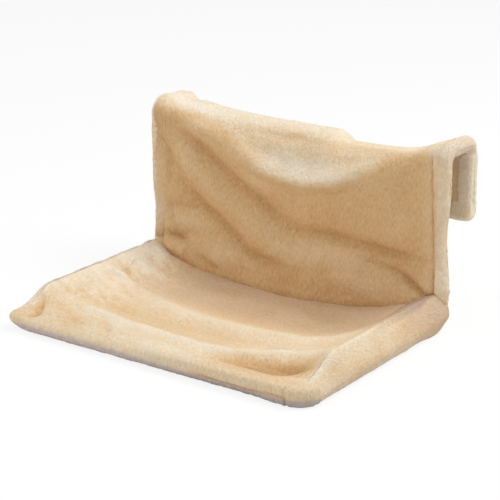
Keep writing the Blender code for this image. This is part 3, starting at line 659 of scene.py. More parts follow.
def stretched_noise(tree, vector, size, detail):
    """Noise whose bumps have the given size along each axis of the vector."""
    mapping = tree.nodes.new("ShaderNodeMapping")
    mapping.inputs["Scale"].default_value = [1 / part for part in size]
    made = node(tree, "ShaderNodeTexNoise", Scale=1.0, Detail=detail, Roughness=0.6)
    tree.links.new(vector, mapping.inputs["Vector"])
    tree.links.new(mapping.outputs["Vector"], made.inputs["Vector"])
    return made.outputs["Fac"]


def colour_ramp(tree, value, stops):
    made = tree.nodes.new("ShaderNodeValToRGB")
    made.color_ramp.interpolation = "B_SPLINE"
    while len(made.color_ramp.elements) < len(stops):
        made.color_ramp.elements.new(0.5)
    for element, (place, colour) in zip(made.color_ramp.elements, stops):
        element.position = place
        element.color = (*colour, 1.0)
    tree.links.new(value, made.inputs["Fac"])
    return made.outputs["Color"]


def colour_mix(tree, share, first, second):
    made = tree.nodes.new("ShaderNodeMix")
    made.data_type = "RGBA"
    tree.links.new(share, made.inputs["Factor"])
    tree.links.new(first, made.inputs["A"])
    tree.links.new(second, made.inputs["B"])
    return made.outputs["Result"]


def set_roughness(tree, shader, source, least, span):
    rough = math_node(tree, "MULTIPLY", source, span)
    tree.links.new(math_node(tree, "ADD", rough, least), shader.inputs["Roughness"])


def set_bump(tree, shader, height, strength, distance):
    bump = node(tree, "ShaderNodeBump", Strength=strength, Distance=distance)
    tree.links.new(height, bump.inputs["Height"])
    tree.links.new(bump.outputs["Normal"], shader.inputs["Normal"])


def make_plush():
    """Cream pile: streaks along the nap, tan in painted shade, pale where it stands in clumps and in
    painted highlights, greyer in painted shade.
    """
    material, tree, shader = new_material("cream_plush")
    nap = read_attribute(tree, "nap", "Vector")
    fold = read_attribute(tree, "fold", "Fac")
    under = read_attribute(tree, "under", "Fac")
    frost = read_attribute(tree, "frost", "Fac")
    streaks = stretched_noise(tree, nap, (0.0014, 0.0065, 0.0014), 3.0)
    tufts = stretched_noise(tree, nap, (0.0032, 0.0060, 0.0032), 2.0)
    patches = stretched_noise(tree, nap, (0.040, 0.055, 0.040), 3.0)
    # The tone starts from the painted shade and painted light of each point; streaks, tufts and patches
    # of the pile vary it.
    tone = math_node(tree, "MULTIPLY", fold, 0.26)
    tone = math_node(tree, "ADD", tone, 0.56)
    for source, weight in ((streaks, 0.60), (tufts, 0.40), (patches, 0.26)):
        part = math_node(tree, "SUBTRACT", source, 0.5)
        part = math_node(tree, "MULTIPLY", part, weight)
        tone = math_node(tree, "ADD", tone, part)
    # From tan in painted shade to pale cream in painted light.
    smooth_pile = colour_ramp(tree, tone, (
        (0.03, (0.52, 0.290, 0.115)),
        (0.28, (0.745, 0.464, 0.213)),
        (0.48, (0.810, 0.565, 0.308)),
        (0.70, (0.870, 0.692, 0.462)),
        (0.98, (0.95, 0.840, 0.660)),
    ))
    clumps = stretched_noise(tree, nap, (0.0022, 0.0036, 0.0022), 2.0)
    part = math_node(tree, "MULTIPLY", math_node(tree, "SUBTRACT", clumps, 0.5), 1.1)
    # Pale clumps of standing pile, also used for painted highlights.
    standing = colour_ramp(tree, math_node(tree, "ADD", tone, part), (
        (0.10, (0.72, 0.500, 0.290)),
        (0.42, (0.84, 0.640, 0.410)),
        (0.64, (0.90, 0.740, 0.530)),
        (0.97, (0.985, 0.910, 0.790)),
    ))
    # Greyer colours for painted shade on faces turned down or away from the light.
    below = colour_ramp(tree, tone, (
        (0.20, (0.42, 0.335, 0.300)),
        (0.75, (0.74, 0.630, 0.580)),
    ))
    cream = colour_mix(tree, frost, smooth_pile, standing)
    cream = colour_mix(tree, under, cream, below)
    tree.links.new(cream, shader.inputs["Base Color"])
    set_roughness(tree, shader, streaks, 0.72, 0.25)
    shader.inputs["Specular IOR Level"].default_value = 0.12
    shader.inputs["Sheen Weight"].default_value = 0.16
    shader.inputs["Sheen Roughness"].default_value = 0.5
    shader.inputs["Sheen Tint"].default_value = (1.0, 0.88, 0.70, 1.0)
    height = math_node(tree, "MULTIPLY", tufts, 1.6)
    height = math_node(tree, "ADD", height, streaks)
    height = math_node(tree, "ADD", height, math_node(tree, "MULTIPLY", clumps, frost))
    set_bump(tree, shader, height, 0.8, 0.0014)
    return material


def make_lining():
    """Plain knit behind the pile, with fine ribs."""
    material, tree, shader = new_material("cover_lining")
    nap = read_attribute(tree, "nap", "Vector")
    rib = stretched_noise(tree, nap, (0.0012, 0.0200, 0.0012), 2.0)
    patches = stretched_noise(tree, nap, (0.050, 0.050, 0.050), 2.0)
    value = math_node(tree, "MULTIPLY", rib, 0.5)
    value = math_node(tree, "ADD", value, math_node(tree, "MULTIPLY", patches, 0.5))
    colour = colour_ramp(tree, value, (
        (0.25, (0.52, 0.430, 0.330)),
        (0.75, (0.68, 0.580, 0.460)),
    ))
    tree.links.new(colour, shader.inputs["Base Color"])
    shader.inputs["Specular IOR Level"].default_value = 0.2
    set_roughness(tree, shader, rib, 0.75, 0.2)
    set_bump(tree, shader, rib, 0.4, 0.0006)
    return material


def make_paint():
    """Satin powder coat with orange peel, rubbed bright at a few spots."""
    material, tree, shader = new_material("tube_powder_coat")
    place = node(tree, "ShaderNodeTexCoord").outputs["Object"]
    peel = stretched_noise(tree, place, (0.0016,) * 3, 2.0)
    wear = stretched_noise(tree, place, (0.009,) * 3, 4.0)
    colour = colour_ramp(tree, wear, (
        (0.35, (0.045, 0.046, 0.050)),
        (0.62, (0.085, 0.086, 0.092)),
        (0.80, (0.240, 0.240, 0.245)),
    ))
    tree.links.new(colour, shader.inputs["Base Color"])
    set_roughness(tree, shader, peel, 0.32, 0.25)
    set_bump(tree, shader, peel, 0.25, 0.0002)
    return material


def make_steel(name, dark, light, grain):
    """Plated steel with fine scratches drawn out along one axis."""
    material, tree, shader = new_material(name)
    place = node(tree, "ShaderNodeTexCoord").outputs["Object"]
    scratches = stretched_noise(tree, place, grain, 3.0)
    colour = colour_ramp(tree, scratches, ((0.3, dark), (0.7, light)))
    tree.links.new(colour, shader.inputs["Base Color"])
    shader.inputs["Metallic"].default_value = 1.0
    set_roughness(tree, shader, scratches, 0.18, 0.30)
    set_bump(tree, shader, scratches, 0.2, 0.0001)
    return material


def looks_of(nap, fold, frost, under=None):
    if under is None:
        under = np.zeros(fold.shape)
    return {"nap": nap, "fold": np.clip(fold, -2.2, 1.6), "under": under, "frost": frost}


def nap_of(x, along, layer):
    return np.stack([x, along, np.full(x.shape, layer)], axis=-1)


def shade_of(fold_height, tufts, scale=0.005, ridges=0.75):
    """Painted shade in fold valleys and painted light on ridges, with the tufts' own tone; ridges scales
    a ridge's painted light.
    """
    folds = np.where(fold_height > 0, ridges, 1.0) * fold_height / scale
    return folds + 0.30 * tufts


def patches(across, along, table):
    """Sum of soft patches of painted light and shade, partly where the pile lies lighter or darker."""
    return sum(amount * np.exp(-(((across - x) / wide) ** 2) - ((along - y) / high) ** 2)
               for x, y, wide, high, amount in table)


def seat_light_and_shade(x, y):
    """Painted shade behind the seat's long ridge and the back's painted shadow on the
    seat's rear, painted light along the crease, patches of painted light and shade,
    and pale and tan clumps of the pile at the left.
    """
    ridge = np.interp(x, (-0.150, -0.050, 0.060, 0.120, 0.160, 0.205),
                      (0.160, 0.132, 0.132, 0.140, 0.155, 0.185))
    dark = np.interp(x, (-0.180, -0.150, 0.000, 0.050, 0.100, 0.150, 0.205),
                     (0.258, 0.240, 0.236, 0.225, 0.202, 0.188, 0.182))
    # Painted shade behind the long ridge, then the back's painted shadow.
    rear = 0.60 * ramp_up(y, ridge, 0.045) + 0.75 * ramp_up(y - dark, -0.006, 0.034)
    place = np.stack([x + 0.4 * y, y, np.zeros(np.shape(x))], axis=-1)
    clumps = noise(place, (0.015, 0.011, 0.015), 61) + 0.6 * noise(place, (0.006, 0.005, 0.006), 62)
    left = ramp_up(-x, 0.100, 0.060) * ramp_up(y, 0.030, 0.040)
    tone = 0.40 - rear + patches(x, y, SEAT_LIGHT_AND_SHADE) + 0.75 * left * clumps
    # Painted light along the crease, against the shade that gathers there.
    return tone + 0.50 * bell(crease_y(x) - y, 0.008)


def seat_grey_shade(x, y):
    """Share of greyer painted shade behind the seat's long ridge, less at the left."""
    return mix(0.08, 0.30, ramp_up(x, -0.180, 0.080)) * ramp_up(y, 0.140, 0.050)


def make_seat():
    """Sagging seat between the sides, from the front roll to the crease."""
    u = spaced(-SEAM_X, SEAM_X)
    v = np.linspace(0, 1, int(0.285 / STEP))
    x = np.repeat(u[:, None], len(v), axis=1)
    y = mix(SEAT_START_Y, crease_y(x), v[None, :])
    z = bed_top(x, y)
    behind = np.maximum(1 - (crease_y(x) - y) / 0.009, 0) ** 2
    points = np.stack([x, y + 0.0045 * behind, z - 0.0022 * behind], axis=-1)
    nap = nap_of(x, y, 0.0)
    folds = fold_field(x, y, SEAT_FOLDS)
    ragged = noise(nap, (0.016, 0.020, 0.016), 31)
    # Pale standing pile and painted highlight on the seat's ridges towards the left.
    frost = 0.25 + (0.30 + 0.30 * ragged) * smooth(folds / 0.005) * ramp_up(-x, 0.03, 0.12)
    points, tufts = pile(points, grid_normals(points), nap, frost)
    shade = shade_of(folds, tufts, 0.0052) + seat_light_and_shade(x, y)
    looks = looks_of(nap, shade, frost, seat_grey_shade(x, y))
    return slab("seat_cover", points, inner_face(points), looks, ["seat_panel"])


def back_plane(x, z, low):
    """Front face of the back before its folds; it bulges over the seat."""
    reach = mix(CREASE_FADE_HEIGHT, CORNER_FADE_HEIGHT, ramp_up(np.abs(x), 0.090, 0.080))
    fade = 1 - ramp_up(z, low, reach)
    return mix(BACK_Y, crease_y(x), fade)


def sheet_part(u, y, z):
    """Points at the places u across, with y and z along the sheet."""
    return np.stack(np.broadcast_arrays(u[:, None], y, z), axis=-1)


def sling_sheet():
    """The sheet before its folds, and where back, cloth over the arms and panel end."""
    u = spaced(SLING_START_X, SLING_END_X)
    low = (bed_top(u, crease_y(u)) - 0.002)[:, None]
    high = (top_height(u) - front_top_radius(u))[:, None]
    z = mix(low, high, np.linspace(0, 1, int(0.170 / STEP)))
    back = sheet_part(u, back_plane(u[:, None], z, low), z)

    front_radius = front_top_radius(u)[:, None]
    rear_radius = ARM_BEND_RADIUS + PANEL_PROUD
    rear_y = HOOK_Y + PANEL_PROUD
    top_z = top_height(u)[:, None]
    angle = np.linspace(0, math.pi / 2, 50)[None, 1:]
    front_bend = sheet_part(u, BACK_Y + front_radius * (1 - np.cos(angle)),
                            top_z - front_radius * (1 - np.sin(angle)))
    share = np.linspace(0, 1, 14)[None, 1:]
    level = sheet_part(u, mix(BACK_Y + front_radius, rear_y - rear_radius, share), top_z)
    angle = np.linspace(0, math.pi / 2, 24)[None, 1:]
    rear_bend = sheet_part(u, rear_y - rear_radius * (1 - np.sin(angle)),
                           top_z - rear_radius * (1 - np.cos(angle)))
    share = np.linspace(0, 1, 50)[None, 1:]
    hang = sheet_part(u, rear_y, mix(top_z - rear_radius, REAR_HEM_TOP_Z - 0.001, share))
    top = np.concatenate([front_bend, level, rear_bend], axis=1)
    ends = np.cumsum([back.shape[1], top.shape[1], hang.shape[1]]) - 1
    return np.concatenate([back, top, hang], axis=1), ends


def wrap_left(x, z, over_arm):
    """How far the sheet stands out where it runs round the left sleeve."""
    wrap = SLEEVE_RADIUS + 0.0002 - PANEL_PROUD
    wrap = wrap * ramp_up(-x, WRAP_X, TUBE_X - WRAP_X)
    wrap = wrap * mix(1.0, 0.42, over_arm * (z > ARM_Z))
    past = np.maximum(-x - TUBE_X, 0)
    return wrap - (SLEEVE_RADIUS - np.sqrt(SLEEVE_RADIUS ** 2 - past ** 2)) - 0.10 * past


def hook_rear_face(flat, x, z, nap, frost):
    """Rear face of the hanging panel, thicker beside the sleeves and the hem."""
    stuffed = ramp_up(np.abs(x), 0.110, 0.060)
    low_part = ramp_down(z, REAR_HEM_TOP_Z + 0.018, 0.016)
    inner = flat.copy()
    inner[..., 1] -= PANEL_THICKNESS + HOOK_STUFFING * np.maximum(stuffed, low_part)
    inner[..., 0] += 0.0076 * ramp_up(inner[..., 0], 0.190, 0.020)
    forward = np.zeros(inner.shape) + (0.0, -1.0, 0.0)
    return pile(inner, forward, nap, frost, 17)[0]


def make_sling():
    """Back, cloth over the arms and hanging panel, cut from one sheet."""
    points, ends = sling_sheet()
    x, z = points[..., 0], points[..., 2]
    faces_front = ramp_down(points[..., 1], HOOK_Y - 0.020, 0.015)
    edge = ramp_down(-x, PANEL_HALF + 0.002, 0.014) * ramp_down(x, PANEL_HALF + 0.003, 0.007)
    drift = np.interp(z, *SEAM_DRIFT) * faces_front * ramp_up(x, 0.150, 0.060)
    depth = np.maximum(points[..., 1] - BACK_Y, 0)
    seen_x, seen_z = x + drift + SIGHT_DRIFT[0] * depth, z + SIGHT_DRIFT[1] * depth
    folds = fold_field(seen_x, seen_z, BACK_FOLDS) * edge * faces_front
    normals = grid_normals(points)
    foot = np.maximum(1 - walk(points) / 0.010, 0) ** 2
    points = points + normals * (folds * (1 - foot))[..., None]
    points[..., 1] += 0.0025 * foot
    points[..., 2] -= 0.0030 * foot
    flat = points.copy()

    right_edge = np.maximum(1 - (SLING_END_X - x) / 0.009, 0) ** 2
    over_arm = ramp_up(points[..., 1] - BED_DEPTH, 0.008, 0.030)
    wrap = wrap_left(x, z, over_arm)
    points = points + normals * (wrap - 0.0050 * right_edge)[..., None]
    dip = bell(x + 0.196, 0.010) * over_arm * ramp_up(z - ARM_Z, -0.010, 0.010)
    points[..., 2] -= 0.0042 * dip
    points[..., 0] += left_lean(z) * ramp_up(-x, 0.150, 0.050) + drift

    nap = nap_of(x, walk(points) + 0.3, 0.0)
    ragged = noise(nap, (0.016, 0.016, 0.016), 21)
    edge_z = np.interp(seen_x, *FROST_EDGE) + 0.007 * ragged
    hangs = (1 - ramp_up(z - ARM_Z, -0.030, 0.020)) * (points[..., 1] > BED_DEPTH + 0.040)
    above_edge = smooth((seen_z - edge_z) / 0.022 + 0.4)
    # Pale standing pile and painted highlight above the edge of the frosty pile and over the top, little
    # on the hanging panel.
    frost = np.where(faces_front > 0.5, above_edge, mix(0.90, 0.10, hangs))
    frost = np.clip(frost * (0.85 + 0.30 * ragged), 0.10, 1)
    points, tufts = pile(points, grid_normals(points), nap, frost, 3)

    # Painted shade along the crease where the back meets the seat, more towards the left corner.
    corner = ramp_up(-x, 0.130, 0.060)
    crease = bell(walk(points), mix(0.006, 0.014, corner))
    shade = shade_of(folds, tufts, 0.0105, 0.35) - mix(0.25, 1.3, corner) * crease
    seam = bell(x - PANEL_HALF + 0.0022, 0.0018) * (z < ARM_Z)
    shade = shade - (0.7 + 0.3 * ragged) * seam
    # Painted light on the back's right edge beside the sleeve.
    shade = shade + 0.4 * ramp_up(x, 0.188, 0.012) * faces_front
    # Over the left sleeve: painted light low down and painted shade high up.
    left_strip = mix(0.65, -0.25, ramp_up(z, 0.150, 0.040)) * ramp_up(-x, 0.200, 0.016)
    # Painted shade on the back, less where the pile is frosty.
    shade = shade + mix(-0.90, -0.20, frost) + left_strip
    # Painted light on the top, but not where the panel hangs.
    shade = shade + 0.9 * ramp_up(seen_z, 0.220, 0.014) * (1 - hangs)
    # Patches of painted light and shade on the back's front.
    shade = shade + patches(seen_x, seen_z, BACK_LIGHT_AND_SHADE) * faces_front
    # Painted light on the rear faces, most on the hanging panel in its gap.
    shade = shade + mix(0.4, 1.0, hangs) * (1 - faces_front)
    # Greyer painted shade on the strip over the left sleeve.
    under = 0.18 * ramp_up(-x, 0.206, 0.010) * faces_front * (z < ARM_Z - 0.008)

    first = 0
    for word, last in zip(("back", "top", "hook"), ends):
        part = np.s_[:, first:last + 1]
        first = last
        looks = looks_of(nap[part], shade[part], frost[part], under[part])
        if word == "hook":
            inner = hook_rear_face(flat[part], x[part], z[part], nap[part], frost[part])
        else:
            inner = inner_face(points[part])
        slab(word + "_cover", points[part], inner, looks, [word + "_panel"], word != "hook")


def side_ring(side, y):
    """Outline of the padded side, from the seam over the ridge and under."""
    corner_height = float(ridge_height(side, 0.0))
    ridge = float(ridge_height(side, y))
    lean = (ridge - corner_height) / (SIDE_RIDGE_HEIGHT - corner_height)
    behind = max(y - BED_DEPTH, 0.0)
    reach = math.sqrt(max(SLEEVE_RADIUS ** 2 - behind ** 2, 0.0))
    outer = TUBE_X + reach
    if side > 0:
        before = max(CORNER_RADIUS - HEM_RADIUS - y, 0.0)
        outer = min(outer, CORNER_X + math.sqrt(CORNER_RADIUS ** 2 - before ** 2))
    else:
        outer -= LEFT_CORNER_INSET * float(smooth(1 - (y - 0.002) / 0.022))
    seam = mix(SEAM_X, TUBE_X - reach, float(smooth(behind / 0.006)))
    ridge_x = max(RIDGE_X, seam + FIT_GAP)
    bend_run = max(y - BED_DEPTH + BED_BEND_RADIUS - 0.0025 - side * 0.0025, 0.0)
    bend_reach = BED_BEND_RADIUS + BED_Z
    bottom = bend_reach - math.sqrt(bend_reach ** 2 - bend_run ** 2)
    right_foot = mix(RIGHT_FOOT_ROUND, 0.0060, float(ramp_up(y, 0.240, 0.050)))
    foot = min(SIDE_FOOT_ROUND if side < 0 else right_foot, (outer - seam) / 3)
    corner = foot * (1 - math.sqrt(0.5))

    soft = [(mix(RIDGE_X, outer, math.sin(a)), mix(BED_Z, ridge, math.cos(a)))
            for a in (0.0, 0.5, 1.0, math.pi / 2)]
    firm = [(RIDGE_X, ridge), (RIDGE_X + 0.0045, ridge - 0.0020),
            (RIDGE_X + 0.0100, ridge - 0.0095), (outer, mix(BED_Z, ridge, 0.25))]
    over = [[mix(a[k], b[k], lean) for k in (0, 1)] for a, b in zip(soft, firm)]
    over = [[max(px, seam), pz] for px, pz in over]
    over += [(outer, min(bottom + foot, over[-1][1] - 0.001)),
             (outer - corner, bottom + corner),
             (outer - foot, bottom), (mix(seam, outer - foot, 0.5), bottom),
             (seam, bottom)]
    over = through(over, 64)
    rise_x = np.linspace(seam, ridge_x, 16)[:-1]
    row_y = min(y, float(crease_y(side * seam)))
    rise_z = bed_top(side * rise_x, np.full(rise_x.shape, row_y))
    wall = np.stack([np.full(8, seam), np.linspace(bottom, rise_z[0], 10)[1:-1]], axis=1)
    return np.concatenate([np.stack([rise_x, rise_z], axis=1), over, wall])


def make_side(side, word):
    """Padded side: a wedge that leans in to a soft ridge, with a flat foot."""
    inner_y = float(crease_y(side * SEAM_X))
    along = mix(SEAT_START_Y, inner_y, np.linspace(0, 1, int(0.275 / STEP)))
    rear = spaced(inner_y, BED_DEPTH, STEP)[1:]
    round_end = BED_DEPTH + SLEEVE_RADIUS * np.sin(np.linspace(0, 1.45, 10))[1:]
    stations = [(y, 1.0) for y in np.concatenate([along, rear, round_end])]
    starts = [(0.0040, 0.80), (0.0070, 0.93)] if side > 0 else [(0.0048, 0.86), (0.0074, 0.96)]
    stations = starts + stations
    rings = []
    for y, size in stations:
        ring = side_ring(side, max(y, SEAT_START_Y))
        ring = mix(ring.mean(axis=0), ring, size)
        rings.append(np.stack([side * ring[:, 0], np.full(len(ring), y), ring[:, 1]], axis=1))
    points = np.stack(rings, axis=1)
    if side > 0:
        points = points[::-1]
        behind = ramp_up(points[..., 1], 0.258, 0.034) * ramp_up(points[..., 0], 0.209, 0.013)
        points[..., 0] += 0.0055 * behind * ramp_up(points[..., 2], 0.006, 0.020)
        points[..., 2] += 0.0125 * behind * ramp_up(points[..., 2], 0.012, 0.030)
    else:
        points[..., 0] += left_lean(points[..., 2]) * ramp_up(points[..., 1], 0.262, 0.030)
    normals = grid_normals(points, ring=True)
    x, y, z = (points[..., k] for k in range(3))
    around = round_runs(points).cumsum(axis=0)
    top = np.abs(x) < RIDGE_X
    nap = np.where(top[..., None], nap_of(x, y, 0.0), nap_of(around + 0.5, y, 0.0))
    # The ridge line gets pale standing pile, a ragged outline and a painted highlight.
    ridge_line = bell(np.abs(x) - RIDGE_X - 0.001, 0.0065) * ramp_up(z, 0.020, 0.006)
    ragged = noise(nap, (0.014, 0.018, 0.014), 31)
    frost = np.clip(0.32 + (0.45 + 0.35 * ragged) * ridge_line, 0, 1)
    points = points + normals * (mix(0.0016, 0.0010, side > 0) * ragged * ridge_line)[..., None]
    points, tufts = pile(points, normals, nap, frost)
    points[..., 2] = np.maximum(points[..., 2], 0.0)
    folds = fold_field(x, y, SEAT_FOLDS) * (np.abs(x) < RIDGE_X)
    face = ramp_up(np.abs(x) - RIDGE_X, 0.004, 0.006)
    # Painted shade and light of the folds, the seat's painted light and shade inside the outer face, and
    # a painted highlight on the ridge line.
    shade = shade_of(folds, tufts, 0.0055) + seat_light_and_shade(x, y) * (1 - face) + 0.45 * ridge_line
    shade = shade + face * (0.10 + 0.8 * noise(nap, (0.030, 0.045, 0.030), 37))
    rear = ramp_up(y, 0.190, 0.060) * (side > 0)
    # Painted light on the left side's outer face; painted shade over the right side's rear, most on its
    # top.
    shade = shade + 1.25 * face * (side < 0) - mix(1.3, 0.5, face) * rear
    # More painted shade on the right side's outer face towards the rear.
    shade = shade - 0.5 * face * bell(y - 0.238, 0.034) * (side > 0)
    # Greyer painted shade near the floor, low on the outer faces, behind the seat's ridge and at the
    # right side's rear.
    low_face = mix(0.45, 0.28, side > 0) * face * ramp_down(z, 0.030, 0.026)
    under = np.maximum(ramp_down(z, 0.0050, 0.004), low_face)
    under = np.maximum(under, seat_grey_shade(x, y) * (1 - face) + mix(0.35, 0.30, face) * rear)
    looks = looks_of(nap, shade, frost, under)
    return tube("side_cover_" + word, points, looks, ["bed_side_" + word])


def rounded_end(size, edge, count=7):
    """Steps of a rounded end: how far short of it, and how much narrower."""
    angles = np.linspace(0, math.pi / 2, count)
    steps = [(edge * (1 - math.sin(a)), edge * (1 - math.cos(a)) / size) for a in angles]
    return steps + [(0.0, mix(edge / size, 1.0, share)) for share in (0.35, 0.7, 0.97)]


def make_front_roll():
    """Roll round the front bar: a knob at the left, turned back at the right."""
    down = np.linspace(0, math.pi / 2, 24)[1:]
    over_y = np.concatenate([np.linspace(SEAT_START_Y, 0.0, 12),
                             -HEM_RADIUS * np.sin(np.linspace(0, math.pi / 2, 24))[1:]])
    stations = [(-ROLL_LEFT_END + short, 1 - narrow, 0.0)
                for short, narrow in reversed(rounded_end(HEM_RADIUS, 0.0105))]
    stations += [(x, 1.0, 0.0) for x in spaced(-ROLL_LEFT_END + 0.012, CORNER_X, FINE_STEP)]
    stations += [(CORNER_X, 1.0, turn) for turn in np.linspace(0, 1.15, 26)[1:]]
    stations += [(CORNER_X, 0.96, turn) for turn in (1.25, 1.40)]
    rings = []
    for x, size, turn in stations:
        power = mix(*ROLL_POWERS, float(ramp_up(x, 0.150, 0.040)))
        over_z = np.maximum(bed_top(np.full(over_y.shape, x), over_y), BED_Z)
        front_y = -HEM_RADIUS * np.cos(down) ** (2 / power)
        front_z = BED_Z - HEM_RADIUS * np.sin(down) ** (2 / power)
        rear_z = np.linspace(BED_Z - HEM_RADIUS, over_z[0], 12)[1:-1]
        rear_y = SEAT_START_Y * np.sin(np.linspace(0.9, math.pi / 2, 10))
        y = np.concatenate([over_y, front_y, rear_y]) * size
        z = mix(BED_Z, np.concatenate([over_z, front_z, rear_z]), size)
        lift = KNOB_LIFT * float(ramp_up(-x, 0.184, 0.040)) ** 2
        z = lift + z * (1 - lift / (BED_Z + HEM_RADIUS))
        away = CORNER_RADIUS - HEM_RADIUS - y
        rings.append(np.stack([x + away * math.sin(turn),
                               CORNER_RADIUS - HEM_RADIUS - away * math.cos(turn), z], axis=1))
    points = np.stack(rings, axis=1)
    normals = grid_normals(points, ring=True)
    x, y, z = (points[..., k] for k in range(3))
    turn = round_runs(points)
    turn[0] = 0
    along = SEAT_START_Y - turn.cumsum(axis=0)
    nap = nap_of(x + y * (x > CORNER_X), along, 0.0)
    seam_z = np.interp(x, (0.070, 0.150, 0.200), (0.0105, 0.0100, 0.0125))
    along_seam = bell(z - seam_z, 0.0011) * ramp_up(x, 0.060, 0.030) * (x < 0.199)
    up_seam = bell(x - 0.199, 0.0012) * ramp_down(z, 0.0145, 0.002)
    seam = np.maximum(along_seam, up_seam) * (y < 0)
    points = points - normals * (0.0012 * seam)[..., None]
    right = right_share(x)
    # Pale standing pile, partly painted highlight, more at the boxy right.
    frost = mix(0.35, 0.62, right)
    points, tufts = pile(points, normals, nap, frost)
    points[..., 2] = np.maximum(points[..., 2], 0.0)
    folds = fold_field(x, y, SEAT_FOLDS) * (x < CORNER_X)
    # Painted shade and light of the folds, painted light towards the left, and a darker seam.
    shade = shade_of(folds, tufts, 0.0052) + mix(0.40, 0.10, right) - 1.8 * seam
    # Patches of painted light and shade from the seat's list.
    shade = shade + patches(x, y, SEAT_LIGHT_AND_SHADE)
    # Greyer painted shade low on the roll, painted shade at its foot, and more on the right's lower
    # front.
    under = ramp_down(z, mix(0.0145, 0.0120, right), 0.005)
    shade = shade - 0.8 * ramp_down(z, 0.0035, 0.003) - 0.5 * ramp_down(z, 0.016, 0.008) * right
    looks = looks_of(nap, shade, frost, under)
    return tube("front_roll", points, looks, ["front_hem"])


def bent_path(corners, radii, step):
    """Points along straight runs joined by arcs, all about step apart."""
    points = [corners[0]]
    for index, radius in enumerate(radii):
        before, corner, after = (np.asarray(c, float) for c in corners[index:index + 3])
        inward = (before - corner) / np.linalg.norm(before - corner)
        outward = (after - corner) / np.linalg.norm(after - corner)
        for share in np.linspace(0, 1, 13):
            angle = share * math.pi / 2
            points.append(corner + radius * (inward * (1 - math.sin(angle))
                                             + outward * (1 - math.cos(angle))))
    points.append(corners[-1])
    points = np.asarray(points, float)
    length = np.cumsum(np.linalg.norm(np.diff(points, axis=0), axis=1))[-1]
    return evenly(points, int(length / step) + 1)


def squarer(turn, power):
    """A sine or cosine bent so that the outline it draws is squarer than a circle."""
    return np.sign(turn) * np.abs(turn) ** power


